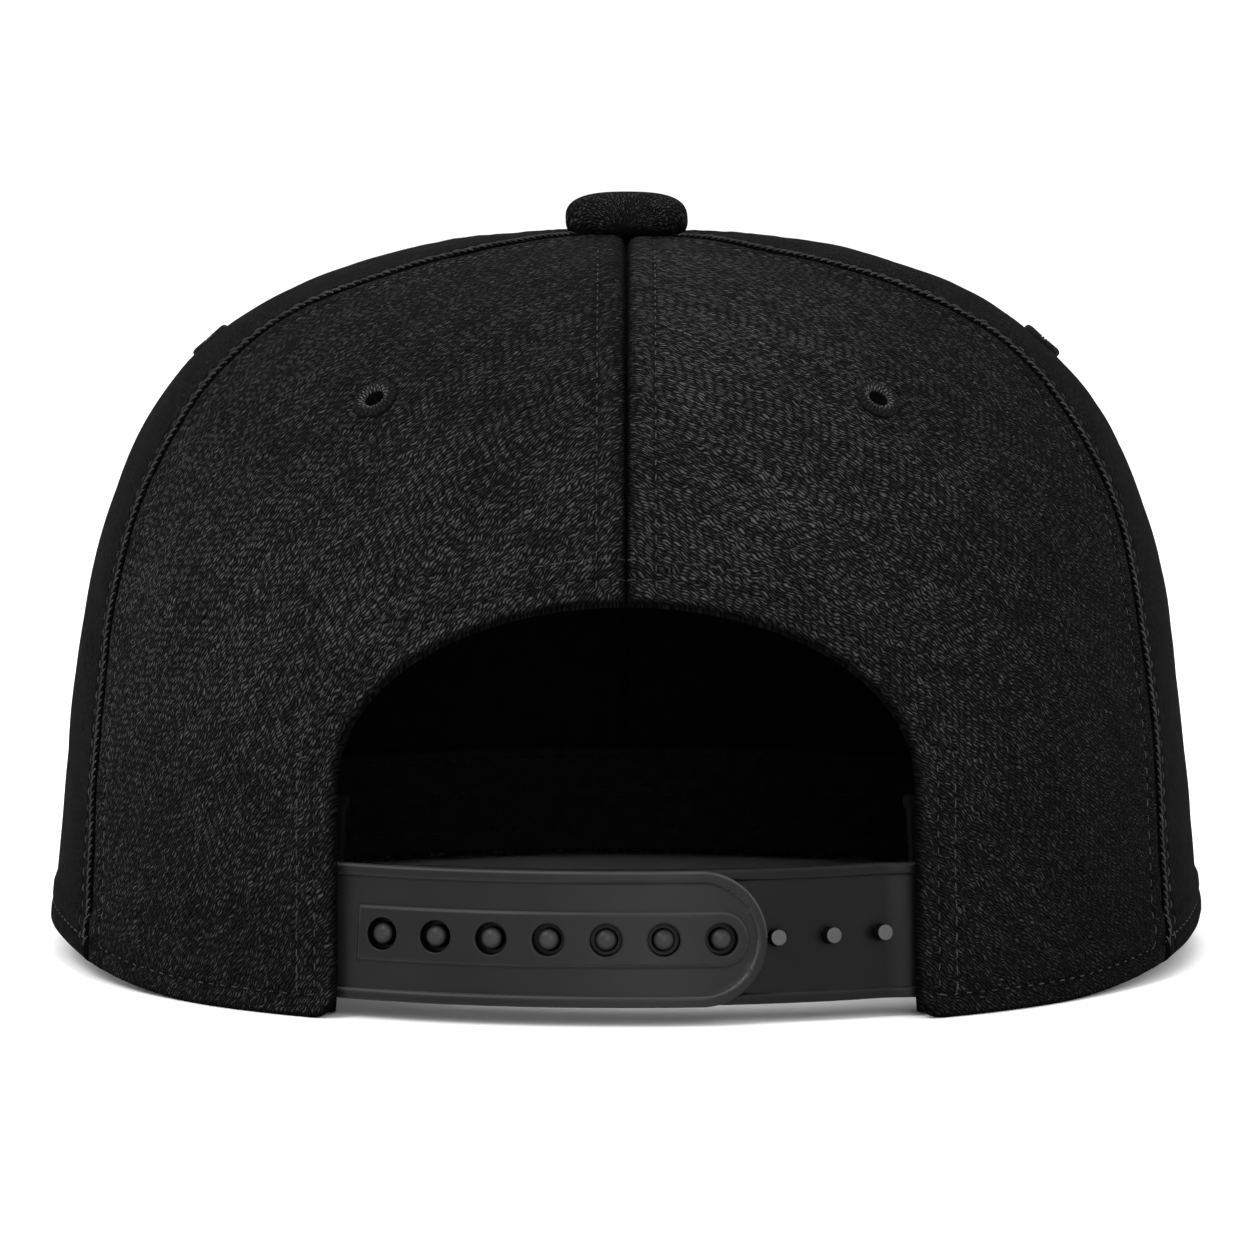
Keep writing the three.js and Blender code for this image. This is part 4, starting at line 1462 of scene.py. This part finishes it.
@dataclass
class Button:
    """The covered button on top: a flat puffed dome of twill over a disc, with its stem and rivet.

    Attributes:
        crown: the crown's form.
        radius: at its widest.
        top: height of its top over the crown's.
        belly: height of its widest place.
        base: height of its lower edge.
        foot: radius of the lower edge, as a share.
        power: of the dome's superellipse.
        gather: how closely the ribs fan out.
        fineness: how fine the cloth's ribs look on it.
        paleness: its cloth's.
        pleats: shallow folds round the lower edge.
        pleat: their depth.
    """

    crown: Crown
    radius: float = 9.4
    top: float = 6.3
    belly: float = 2.0
    base: float = -0.15
    foot: float = 0.925
    power: float = 2.8
    gather: float = 6.0
    fineness: float = 1.3
    paleness: float = 0.8
    pleats: int = 17
    pleat: float = 0.1

    def profile(self) -> tuple[Array, Array]:
        """Radius and height from the stem's end out under the cover and up it: a superellipse on a foot."""
        rivet = [(0.01, -3.2), (3.6, -3.0), (4.6, -2.5), (4.6, -2.1)]
        stem = np.array([*rivet, (1.6, -1.9), (1.6, -0.2), (6.0, -0.1)])
        rise = np.linspace(0, 1, 12)
        foot_r = self.radius * (1 - (1 - self.foot) * (1 - rise) ** 2.2)
        turn = np.linspace(0, np.pi / 2, 60)[1:]
        dome_r = self.radius * np.maximum(np.cos(turn), 1e-4) ** (2 / self.power)
        dome_z = self.belly + (self.top - self.belly) * np.sin(turn) ** (2 / self.power)
        radius = np.concatenate([stem[:, 0], foot_r, dome_r])
        return radius, np.concatenate([stem[:, 1], lerp(self.base, self.belly, rise), dome_z])

    def build(self, wardrobe: Wardrobe) -> Piece:
        """Make the button.

        Formula: the profile carried round, its lower edge drawn in by shallow pleats. The cloth's ribs
        fan out from a gather low at the back: the place on the cloth is the polar angle and distance
        from there, with distances up and over the button added together.

        Args:
            wardrobe: the cap's finishes.

        Returns:
            The button.
        """
        angle = np.linspace(0, 2 * np.pi, 144, endpoint=False)
        radius, height = self.profile()
        low = (1 - smoothstep(height, 0.6, 3.4)) * (height > self.base) * smoothstep(radius, 6.5, 8.5)
        pleat = self.pleat * low[:, None] * np.cos(self.pleats * angle + 0.8 * np.sin(3 * angle))[None]
        up = np.array([0.0, 0.0, 1.0])
        wide, tall = radius[:, None] + pleat, height[:, None] + 0 * angle
        rings = ringed(wide, tall, angle, self.crown.height * up, up)
        over = rings[..., 2] - self.crown.height + rings[..., 1] + self.radius + 0.5
        fan = np.arctan2(rings[..., 0], over)
        # Painted shade: the cloth darker below the belly, under the dome's widest place.
        pale = self.paleness * (0.25 + 0.75 * smoothstep(height, 0.0, 2.2))[:, None] + 0 * over
        away = np.hypot(rings[..., 0], over)
        place = np.stack([fan * self.gather * self.fineness, away * self.fineness, pale], -1)
        piece = tube(rings, place).build("button", [wardrobe.twill])
        return dress(piece, "twill", "button")


@dataclass
class Peak:
    """The flat peak in front: a board covered in twill with rows of stitches that follow its edge.

    Attributes:
        crown: the crown's form, which holds the peak's.
        end: azimuth in degrees of its ends at the rim.
        furrow: depth and width of the furrow under a row of stitches.
        side_clear: how far ahead of the crown's middle its stitches start.
        rows: distances of the rows of stitches from its edge.
    """

    crown: Crown
    end: float = 110.0
    furrow: tuple[float, float] = (0.12, 0.8)
    side_clear: float = 12.0
    rows: tuple[float, ...] = (5.0, 11.5, 18.0, 24.5, 31.0, 37.5, 44.0, 50.5)

    def line(self, azimuth: Array, share: Array) -> Array:
        """Plan places from under the rim, at share 0, to the peak's edge, at share 1."""
        inner = self.crown.plan_radius(azimuth) - self.crown.cloth
        outer = np.maximum(self.crown.peak.edge(azimuth), inner + self.crown.clearance)
        return lerp(inner, outer, share)[..., None] * heading(azimuth + 0 * share)

    def nearness(self, plan: Array, edge: Array) -> tuple[Array, Array]:
        """Distance of plan places from the edge, and how far they are into its round, 1 at the edge."""
        from_edge, _ = distance_to(np.concatenate([plan, 0 * plan[..., :1]], -1), edge)
        return from_edge, np.clip(1 - from_edge / (self.crown.peak.thickness / 2), 0, 1)

    def surface(self, plan: Array, edge: Array, side: float) -> Array:
        """Points of the top (side 1) or underside (side -1).

        Formula: half the thickness, rounded to nothing at the edge by a quarter circle, above or below
        the board's middle; each row of stitches lies in a shallow furrow.
        """
        form = self.crown.peak
        half = form.thickness / 2
        from_edge, near = self.nearness(plan, edge)
        thick = half * np.sqrt(1 - near**2 * 0.998)
        depth, width = self.furrow
        thick = thick - depth * sum(hump(from_edge, row, width) for row in self.rows)
        middle = form.underside(plan[..., 0], plan[..., 1]) + half
        return np.concatenate([plan, (middle + side * thick)[..., None]], -1)

    def build(self, wardrobe: Wardrobe, stitching: Stitching) -> Piece:
        """Make the peak and lay its stitches.

        Formula: on the cloth, the places in the round of the edge lie further out than in plan, by the
        arc's length less its depth.

        Args:
            wardrobe: the cap's finishes.
            stitching: the rows gathered so far.

        Returns:
            The peak.
        """
        azimuth = np.radians(np.linspace(self.end, 360 - self.end, 320))
        share = np.concatenate([np.linspace(0, 0.965, 84), 1 - 0.035 * np.linspace(1, 0, 9)[1:] ** 1.6])
        edge2 = self.line(np.radians(np.linspace(60, 300, 3000)), np.array(1.0))
        edge = np.concatenate([edge2, 0 * edge2[:, :1]], -1)
        plan = self.line(azimuth[:, None], share[None])
        top, under = self.surface(plan, edge, 1.0), self.surface(plan, edge, -1.0)
        near = self.nearness(plan, edge)[1]
        round_it = self.crown.peak.thickness / 2 * (np.arcsin(near) - near)[..., None]
        shape = closed_shell(top, under, weave=plan + round_it * unit(plan))
        for row in self.rows:
            self.sew(row, edge, stitching)
        piece = shape.build("peak", [wardrobe.twill, wardrobe.twill])
        return dress(piece, "twill", "peak")

    def sew(self, row: float, edge: Array, stitching: Stitching) -> None:
        """Lay one row of stitches at a distance inside the edge, on the top and on the underside."""
        tangent = unit(np.gradient(edge, axis=0))
        inward = np.stack([-tangent[:, 1], tangent[:, 0]], -1)
        inward = inward * np.sign((inward * (np.array([0.0, 60.0]) - edge[:, :2])).sum())
        plan = edge[:, :2] + row * inward
        azimuth = np.arctan2(plan[:, 0], -plan[:, 1])
        clear = np.linalg.norm(plan, axis=1) > self.crown.plan_radius(azimuth) + 0.8
        plan = plan[clear & (plan[:, 1] > self.side_clear)]
        for side in (1.0, -1.0):
            points = self.surface(plan, edge, side)
            normals = np.tile([0.0, 0.0, side], (len(points), 1))
            stitching.add(points, normals, 0.3 * (row % 3) / 3)


@dataclass
class Sweatband:
    """The band inside the rim, open behind, with a rolled top edge and rows of stitches.

    Attributes:
        crown: the crown's form.
        opening: the arched opening behind.
        thickness: of the band.
        front_height: its height in front.
        back_height: its height behind.
        foot: height of its lower edge over the rim.
        front_lift: the same over the floor, in front.
        roll: how much thicker its rolled edge is.
        behind_strap: its inset where the straps lie between it and the cloth.
        tab: length of a strap's hidden end.
        furrow: depth of the furrow under a row of stitches.
        sag: how far it waves inwards.
        strap_line: height and inset of the line along which distances behind are measured.
        paleness: away from its ends.
        rows: distances of its rows of stitches from its upper edge.
    """

    crown: Crown
    opening: Opening
    thickness: float = 1.2
    front_height: float = 17.5
    back_height: float = 31.0
    foot: float = 0.4
    front_lift: float = 2.2
    roll: float = 0.9
    behind_strap: float = 4.0
    tab: float = 12.0
    furrow: float = 0.18
    sag: float = 0.15
    strap_line: tuple[float, float] = (12.4, 2.5)
    paleness: float = 1.5
    rows: tuple[float, ...] = (2.1, 7.5, 14.4)

    def section(self) -> tuple[Array, Array]:
        """Depth and share of height round the band's section: a flat back, a rolled top and a face."""
        turn = np.linspace(0, 1.25 * np.pi, 16)
        radius = (self.thickness + self.roll) / 2
        roll_depth = radius - radius * np.cos(turn)
        roll_up = -radius * 1.1 + radius * 1.1 * np.sin(turn)
        back = np.linspace(0, 1, 10)[:-1]
        face = np.linspace(1, 0, 60)
        depth = np.concatenate([0 * back, roll_depth, np.full(60, self.thickness)])
        base = np.concatenate([back, np.ones(16), face])
        extra = np.concatenate([0 * back, roll_up, lerp(-radius * 1.9, 0.0, 1 - face)])
        return depth, np.stack([base, extra], -1)

    def points(self, azimuth: Array, depth: Array, base: Array, extra: Array) -> Array:
        """Points of the band by azimuth, depth from its back, and height as share and millimetres."""
        turn = np.arccos(np.cos(azimuth))
        height = lerp(self.back_height, self.front_height, smoothstep(turn, *np.radians((60, 105))))
        near, far = (self.line(self.opening.half_width + k * self.tab) for k in (1.5, 2.5))
        clear = self.crown.cloth + self.crown.clearance
        against = lerp(self.behind_strap, clear, smoothstep(turn, near, far))
        front = smoothstep(turn, *np.radians((100, 130)))
        foot = self.foot + lerp(self.crown.rim_height(azimuth), self.front_lift, front)
        up = foot + height * base + extra
        sag = np.abs(np.sin(azimuth * 9) * np.sin(np.pi * np.clip(base, 0, 1)) * (depth > 1))
        furrow = sum(hump(height * base + extra, height - row, 0.5) for row in self.rows) * (depth > 1)
        return self.crown.wall_point(azimuth, up, against + depth - self.furrow * furrow + self.sag * sag)

    def line(self, distance: float) -> float:
        """Azimuth at a distance round the back from its middle, on the straps' line."""
        azimuth = np.radians(np.arange(0, 120, 0.25))
        height, inset = self.strap_line
        run = lengths(self.crown.wall_point(azimuth, height + 0 * azimuth, inset))
        return float(np.interp(distance, run, azimuth))

    def build(self, wardrobe: Wardrobe, stitching: Stitching) -> Piece:
        """Make the band and lay its stitches.

        Args:
            wardrobe: the cap's finishes.
            stitching: the rows gathered so far.

        Returns:
            The band.
        """
        start = self.line(1.06 * self.opening.half_width)
        azimuth = np.linspace(start, 2 * np.pi - start, 300)
        depth, up = self.section()
        rings = self.points(azimuth[:, None], depth[None], up[None, :, 0], up[None, :, 1])
        run = lengths(rings[:, 0])
        pale = self.paleness * smoothstep(np.minimum(run, run[-1] - run), 6.0, 60.0)[:, None]
        height = (up[:, 0] * 24 + up[:, 1] + 40 * (depth > 1))[None]
        place = np.stack(np.broadcast_arrays(run[:, None], height, pale), -1)
        for row in self.rows:
            points = self.points(azimuth, self.thickness + 0 * azimuth, 1 + 0 * azimuth, -row + 0 * azimuth)
            inward = np.concatenate([-heading(azimuth), 0 * azimuth[:, None]], -1)
            stitching.add(points, inward)
        piece = tube(rings, place).build("sweatband", [wardrobe.lining])
        return dress(piece, "lining", "sweatband")


@dataclass
class Strap:
    """A moulded strap from its tab behind the cloth to its round tip, with holes or with pegs.

    Attributes:
        crown: the crown's form.
        name: the node that it stands for.
        way: 1 where it runs from the wearer's left, -1 from the right.
        tip: how far its tip is past the centre back.
        holes: places of its holes along it.
        pegs: places of its pegs along it.
        free: how far past the centre back, towards the wearer's right, pegs are free.
        tab: where its hidden end is.
        height: of the strap.
        foot: height of its lower edge over the floor.
        thickness: of its plain part.
        bead: width of the bead along its outline.
        relief: height of bead and plate.
        plate: half the width of the plate round the holes.
        hole_radius: of its holes.
        peg_radius: of the pegs in holes.
        free_radius: of the free pegs.
        peg_height: of its pegs over its plain face.
        peg_drop: how far below its middle they stand.
        rounding: depth and width of the round along its outline.
        lip: depth and width of the round at a hole's edge.
        bead_highlight: painted highlight along the bead's inner edge, above and below the middle.
        rim_highlight: painted highlight along the upper outline.
        plate_highlight: painted highlight along the plate's edge, below and above the middle.
        beside_shade: painted shade, as paleness lost beside those edges.
        dome: height of a fastened peg's dome.
        dome_highlight: painted highlight on the domes, palest at their tops.
        top_highlight: painted highlight on the free pegs' tops.
        shaded: share of its paleness on the inner strap, which has less light.
        ease: where the inner strap comes out past the outer one's tip.
        front_inset: inset of the outer strap's plain face in the crown's wall.
        rear_inset: the same of the inner strap under the outer one.
    """

    crown: Crown
    name: str
    way: float
    tip: float
    holes: tuple[float, ...] = ()
    pegs: tuple[float, ...] = ()
    free: float = 0.0
    tab: float = -53.8
    height: float = 19.2
    foot: float = 2.8
    thickness: float = 1.2
    bead: float = 1.5
    relief: float = 0.4
    plate: float = 3.8
    hole_radius: float = 2.25
    peg_radius: float = 1.58
    free_radius: float = 1.14
    peg_height: float = 2.3
    peg_drop: float = 0.2
    rounding: tuple[float, float] = (0.35, 0.25)
    lip: tuple[float, float] = (0.26, 0.28)
    bead_highlight: tuple[float, float] = (1.6, 4.5)
    rim_highlight: float = 7.0
    plate_highlight: tuple[float, float] = (2.6, 4.0)
    beside_shade: float = 0.6
    shaded: float = 0.3
    dome: float = 1.0
    dome_highlight: float = 2.8
    top_highlight: float = 7.0
    ease: tuple[float, float] = (37.8, 45.0)
    front_inset: float = 2.5
    rear_inset: float = 4.4

    def inset(self, along: Array) -> Array:
        """Inset of the plain face: even on the outer strap, eased out past its tip on the inner one."""
        if self.holes:
            return self.front_inset + 0 * along
        return lerp(self.rear_inset, self.front_inset, smoothstep(along, *self.ease))

    def place(self, along: Array, up: Array, out: Array) -> Array:
        """A point of the strap: along it, up from its middle and out from its plain face."""
        azimuth = np.radians(np.arange(0, 100, 0.25))
        middle = self.foot + self.height / 2
        run = lengths(self.crown.wall_point(azimuth, middle + 0 * azimuth, self.front_inset))
        signed = self.way * along
        angle = np.sign(signed) * np.interp(np.abs(signed), run, azimuth)
        return self.crown.wall_point(angle, middle + up, self.inset(signed) - out)

    def axis(self, along: float) -> Array:
        """Outward normal of the strap at a place along it."""
        at = lambda a, u: self.place(np.array([along + a]), np.array([u]), np.array([0.0]))[0]
        return unit(np.cross(at(1.0, 0.0) - at(-1.0, 0.0), at(0.0, 1.0) - at(0.0, -1.0)) * self.way)

    def lines(self) -> tuple[Array, Array]:
        """Grid lines along and up the strap, close together at beads, plate ends and holes."""
        half, radius = self.height / 2, self.hole_radius
        inside = np.linspace(-radius, radius, 13)
        beyond = radius + np.array([0.08, 0.18, 0.32, 0.52, 0.8, 1.15, 1.5])
        plate = self.plate + np.array([-0.2, -0.08, 0.04, 0.18])
        edge = half - np.array([2.0, 1.78, 1.68, 1.58, 1.48, 1.36, 1.0, 0.6, 0.34, 0.22, 0.12, 0.05, 0.0])
        field_lines = np.linspace(self.plate + 0.5, half - 2.3, 8)
        upper = np.concatenate([beyond[:-1], plate, field_lines, edge])
        up = np.unique(np.round(np.concatenate([-upper, inside, upper]), 4))
        if self.holes:
            cells = [hole + np.concatenate([-beyond, inside, beyond]) for hole in self.holes]
            start = min(self.holes) - self.plate
            left = [np.linspace(self.tab, start - 0.5, 20), start + np.array([-0.25, -0.12, 0.0, 0.12, 0.25])]
            joins = np.concatenate([[hole - 4.12, hole + 4.12] for hole in self.holes])
            along = [*left, *cells, joins[1:-1], max(self.holes) + plate, self.tip - half + edge]
            along = np.concatenate(along)
        else:
            along = np.concatenate([np.arange(self.tab, self.tip - 2.2, 0.8), self.tip - half + edge])
        along = np.unique(np.round(along, 3))
        return along[np.concatenate([[True], np.diff(along) > 0.03])], up

    def flat(self) -> tuple[Array, Array, Array]:
        """The strap laid flat.

        Formula: past the round tip's centre, a square of the grid is pressed into a half disc, each
        part times the root of 1 less half the other's square; round each hole, squares of the grid are
        drawn into circles that fade out before the next hole.

        Returns:
            Places along and up, (up, along, 2), and which cells stay.
        """
        along, up = self.lines()
        x, y = np.meshgrid(along, up)
        half = self.height / 2
        centre = self.tip - half
        t, s = np.clip((x - centre) / half, 0, 1), y / half
        px = np.where(x > centre, centre + half * t * np.sqrt(1 - s**2 / 2), x)
        py = np.where(x > centre, half * s * np.sqrt(1 - t**2 / 2), y)
        keep = np.ones((len(up) - 1, len(along) - 1), bool)
        mid_x, mid_y = (along[:-1] + along[1:]) / 2, (up[:-1] + up[1:]) / 2
        for hole in self.holes:
            square = np.maximum(np.abs(x - hole), np.abs(y))
            away = np.hypot(px - hole, py)
            ahead = (x > hole) & (hole == max(self.holes))
            near = np.where(ahead, self.plate + 0.3, self.hole_radius + 0.3)
            far = np.where(ahead, self.plate + 2.0, self.hole_radius + 1.5)
            share = smoothstep((square - near) / (far - near), 0.0, 1.0)
            factor = np.where(square < far, lerp(square / np.maximum(away, 1e-9), 1.0, share), 1.0)
            px, py = hole + (px - hole) * factor, py * factor
            keep &= np.maximum(np.abs(mid_x[None] - hole), np.abs(mid_y[:, None])) > self.hole_radius - 1e-6
        return px, py, keep

    def outline(self, x: Array, y: Array) -> Array:
        """Distance inside the strap's outline."""
        half = self.height / 2
        return half - np.where(x > self.tip - half, np.hypot(x - self.tip + half, y), np.abs(y))

    def plate_edge(self, x: Array, y: Array) -> Array:
        """Distance inside the outline of the plate round the holes."""
        last, first = max(self.holes), min(self.holes)
        inside = self.plate - np.hypot(np.maximum(x - last, 0), y)
        return np.minimum(inside, x - first + self.plate)

    def heights(self, x: Array, y: Array) -> Array:
        """Relief: a flat-topped bead along the outline, a plate along the holes, and eased hole edges."""
        outline = self.outline(x, y)
        bead = 1 - smoothstep(outline, self.bead - 0.12, self.bead + 0.22)
        bead = lerp(0.35, 1.0, smoothstep(outline, 0.0, 0.22)) * bead
        out = self.relief * bead - self.rounded(outline, *self.rounding)
        if self.holes:
            out = out + self.relief * smoothstep(self.plate_edge(x, y), -0.08, 0.16)
        for hole in self.holes:
            out = out - self.rounded(np.hypot(x - hole, y) - self.hole_radius, *self.lip)
        return out

    @staticmethod
    def rounded(distance: Array, depth: float, width: float) -> Array:
        """Depth of an elliptic round at a distance inside an edge."""
        return depth * (1 - np.sqrt(1 - np.clip(1 - distance / width, 0, 1) ** 2))

    def painted_light_and_shade(self, x: Array, y: Array) -> Array:
        """Painted light and shade: highlights along the edges of bead and plate, shade beside them, nearly
        none in the holes and round the pegs.
        """
        outline = self.outline(x, y)
        # Painted highlights along the bead's inner edge and the upper outline, painted shade just inside the
        # bead.
        pale = 1 + lerp(*self.bead_highlight, y < 0) * hump(outline, self.bead, 0.12)
        pale = pale - self.beside_shade * hump(outline, self.bead + 0.2, 0.12)
        pale = pale + self.rim_highlight * hump(outline, 0.12, 0.13) * (y > 0)
        if self.pegs:
            pale = pale * self.shaded
        if self.holes:
            edge = self.plate_edge(x, y)
            # Painted highlight along the plate's edge, painted shade just outside it.
            pale = pale + lerp(*self.plate_highlight, y > 0) * hump(edge, 0.06, 0.11)
            pale = pale - self.beside_shade * hump(edge, -0.14, 0.1)
        for hole in self.holes:
            # Painted shade on the holes' walls.
            pale = pale * (1 - 0.9 * (np.hypot(x - hole, y) < self.hole_radius + 0.02))
        for peg in self.pegs:
            # Painted shadow round each peg, as wide as its hole or a ring round a free peg.
            reach = self.hole_radius + 0.1 if self.fastened(peg) else self.free_radius + 0.55
            pale = pale * (1 - 0.85 * smoothstep(-np.hypot(x - peg, y), -reach - 0.15, -reach + 0.15))
        return pale

    def fastened(self, along: float) -> bool:
        """Whether a peg at a place along the strap sits in a hole of the other one."""
        return self.way * along < self.free

    def peg(self, along: float) -> Shape:
        """One peg: a straight post with a domed top, or a thinner flat one with a small round."""
        domed = self.fastened(along)
        seat = self.place(np.array([along]), np.array([-self.peg_drop]), np.array([0.0]))[0]
        turn = np.linspace(0, np.pi / 2, 9)[:-1]
        radius = self.peg_radius if domed else self.free_radius
        if domed:
            top = [(radius * np.cos(a), self.peg_height + self.dome * (np.sin(a) - 1)) for a in turn]
        else:
            inner = radius - 0.2
            top = [(inner + 0.2 * np.cos(a), self.peg_height - 0.2 + 0.2 * np.sin(a)) for a in turn]
            top += [(inner * 0.6, self.peg_height), (inner * 0.3, self.peg_height)]
        fillet = [(radius + 0.2, -0.1), (radius + 0.06, 0.06), (radius, 0.25)]
        profile = [(radius + 0.2, -self.thickness / 2), *fillet, *top, (0.02, self.peg_height)]
        peg = turned(profile, 40, seat, self.axis(along))
        height = (peg.points - seat) @ self.axis(along)
        # Painted highlight on the dome or the free peg's top, painted shade on the post's side.
        low, high = (0.05, self.dome_highlight) if domed else (0.1, self.top_highlight)
        start = self.peg_height - (self.dome if domed else 0.16)
        peg.weave[:, 2] = lerp(low, high, smoothstep(height, start, self.peg_height - 0.05))
        return peg

    def build(self, wardrobe: Wardrobe) -> Piece:
        """Make the strap.

        Args:
            wardrobe: the cap's finishes.

        Returns:
            The strap.
        """
        x, y, keep = self.flat()
        front = self.place(x, y, self.heights(x, y))
        back = self.place(x, y, -self.thickness + 0 * x)
        shapes = [closed_shell(front, back, keep, np.stack([x, y, self.painted_light_and_shade(x, y)], -1))]
        shapes[0].finish = [0 * part for part in shapes[0].finish]
        shapes += [self.peg(along) for along in self.pegs]
        piece = Shape.joined(shapes).build(self.name, [wardrobe.plastic], 50.0)
        return dress(piece, "strap_plastic", self.name)


@dataclass
class Studio:
    """A plain pale floor, soft lights, and the camera of the photograph.

    Attributes:
        distance: of the camera from its target, in metres.
        elevation: of the camera over the target, in degrees.
        lens: focal length in millimetres, on a frame 36 mm wide.
        target: what the camera faces, in metres.
        floor_reach: half the floor's side, in millimetres.
        backdrop: strength of the white all round.
        lamps: name, place and size in metres, and power in watts of each light.
    """

    distance: float = 1.1
    elevation: float = 5.3
    lens: float = 204.3
    target: tuple[float, float, float] = (0.0001, 0.0, 0.0483)
    floor_reach: float = 9000.0
    backdrop: float = 1.13
    lamps: tuple[tuple[str, tuple[float, float, float], float, float], ...] = (
        ("key", (-0.9, -1.0, 1.5), 0.9, 22.0),
        ("top", (0.1, 0.5, 1.7), 1.2, 14.0),
        ("fill", (1.3, -0.9, 0.7), 1.0, 4.0),
        ("front", (0.35, -2.1, 1.15), 0.8, 12.0),
        ("low", (0.2, -2.4, 0.42), 0.9, 10.0),
    )

    def floor(self) -> Piece:
        """A wide floor, faintly uneven in tone."""
        n = Nodes("pale_floor")
        n.colour(n.noise(n.space(), 3.0), (0.0, 0.90), (1.0, 0.92))
        n.gloss(0.9, 0.1)
        line = np.linspace(-self.floor_reach, self.floor_reach, 3)
        x, y = np.meshgrid(line, line)
        points = np.stack([x, y, 0 * x], -1).reshape(-1, 3)
        floor = Shape(points, [grid_faces(3, 3)]).build("floor", [n.material])
        return floor

    def light(self, name: str, place: tuple[float, float, float], size: float, power: float) -> None:
        """One square soft light that faces the cap."""
        data = bpy.data.lights.new(name, "AREA")
        data.shape = "SQUARE"
        data.size = size
        data.energy = power
        lamp = bpy.data.objects.new(name, data)
        lamp.location = place
        lamp.rotation_euler = (Vector((0, 0, 0.05)) - Vector(place)).to_track_quat("-Z", "Y").to_euler()
        bpy.context.scene.collection.objects.link(lamp)

    def build(self) -> None:
        """Set the floor, the lights, the backdrop's white and the camera."""
        self.floor()
        for lamp in self.lamps:
            self.light(*lamp)
        world = bpy.data.worlds.new("studio")
        world.use_nodes = True
        colour, strength = world.node_tree.nodes["Background"].inputs[:2]
        colour.default_value, strength.default_value = (1, 1, 1, 1), self.backdrop
        bpy.context.scene.world = world
        bpy.context.scene.view_settings.view_transform = "Standard"
        camera = bpy.data.objects.new("camera", bpy.data.cameras.new("camera"))
        camera.data.lens = self.lens
        camera.data.sensor_width = 36.0
        camera.data.clip_start, camera.data.clip_end = 0.01, 50.0
        tilt = np.radians(self.elevation)
        target = Vector(self.target)
        camera.location = target + self.distance * Vector((0, -np.cos(tilt), np.sin(tilt)))
        camera.rotation_euler = (np.pi / 2 - tilt, 0, 0)
        bpy.context.scene.collection.objects.link(camera)
        bpy.context.scene.camera = camera


@dataclass
class Snapback:
    """The whole cap.

    Attributes:
        crown: the crown's form.
        opening: the arched opening behind.
        peg_pitch: distance between pegs.
        last_hole: the hole nearest the outer strap's tip, from the centre back.
        hole_count: holes of the outer strap, each on a peg.
        free_pegs: pegs past the holes.
        outer_tip: the outer strap's tip, from the centre back.
        inner_tip: the inner strap's tip, from its first peg.
    """

    crown: Crown = field(default_factory=Crown)
    opening: Opening = field(default_factory=Opening)
    peg_pitch: float = 8.24
    last_hole: float = 13.6
    hole_count: int = 7
    free_pegs: int = 3
    outer_tip: float = 20.3
    inner_tip: float = 4.8

    def panels(self) -> list[Panel]:
        """The six panels, each with its grain and its folds."""
        valley, rope, under = Fold.VALLEY, Fold.ROPE, Fold.UNDER
        back = {"eyelet": 0.8, "opening": self.opening}
        # Each panel's paleness by height and its fade are painted shading: darker rims, and side, front and
        # right panels darker than the back left one.
        front = (0.6, 0.75, 0.75)
        rows = (
            ("back_left_panel", -60, 0, -33.0, (under, valley), (0.74, 1.06, 0.86), 0.0, back),
            ("back_right_panel", 0, 60, 54.0, (valley, under), (0.72, 1.0, 1.08), 0.32, back),
            ("side_right_panel", 60, 120, -40.0, (rope, valley), (0.6, 0.7, 0.75), 0.34, {}),
            ("front_right_panel", 120, 180, 38.0, (valley, valley), front, 0.0, {}),
            ("front_left_panel", 180, 240, -38.0, (valley, valley), front, 0.0, {}),
            ("side_left_panel", 240, 300, 40.0, (valley, rope), (0.68, 0.78, 0.83), 0.34, {}),
        )
        return [Panel(self.crown, *row, **more) for *row, more in rows]

    def build(self) -> None:
        """Build every piece in order."""
        wardrobe = Wardrobe.made()
        seams, peak_rows, band_rows = Stitching(radius=0.14, palest=1.7), Stitching(), Stitching(radius=0.14)
        whips = Stitching(1.15, 1.8, 0.17, lift=0.14, dip=0.3, slant=25.0, fade=0.85, palest=1.7)
        for panel in self.panels():
            panel.build(wardrobe, seams)
            panel.whip(whips)
            Eyelet(self.crown, panel).build(wardrobe)
        Button(self.crown).build(wardrobe)
        Peak(self.crown).build(wardrobe, peak_rows)
        Sweatband(self.crown, self.opening).build(wardrobe, band_rows)
        holes = tuple(self.last_hole - k * self.peg_pitch for k in range(self.hole_count))
        Strap(self.crown, "outer_strap", 1.0, self.outer_tip, holes=holes).build(wardrobe)
        first = -min(holes)
        pegs = tuple(first - k * self.peg_pitch for k in range(self.hole_count + self.free_pegs))
        tip, free = first + self.inner_tip, self.last_hole + 1
        Strap(self.crown, "inner_strap", -1.0, tip, pegs=pegs, free=free).build(wardrobe)
        dress(whips.shape().build("seam_whipping", [wardrobe.whipping]), "thread")
        sewn = {"crown_stitching": seams, "peak_stitching": peak_rows, "band_stitching": band_rows}
        for name, rows in sewn.items():
            dress(rows.shape().build(name, [wardrobe.thread]), "thread")


def main() -> None:
    """Build the studio and the cap."""
    logging.basicConfig(level=logging.INFO, format="%(name)s %(message)s")
    Studio().build()
    LOG.info("studio set")
    Snapback().build()
    bpy.context.view_layer.update()


if __name__ == "__main__":
    main()
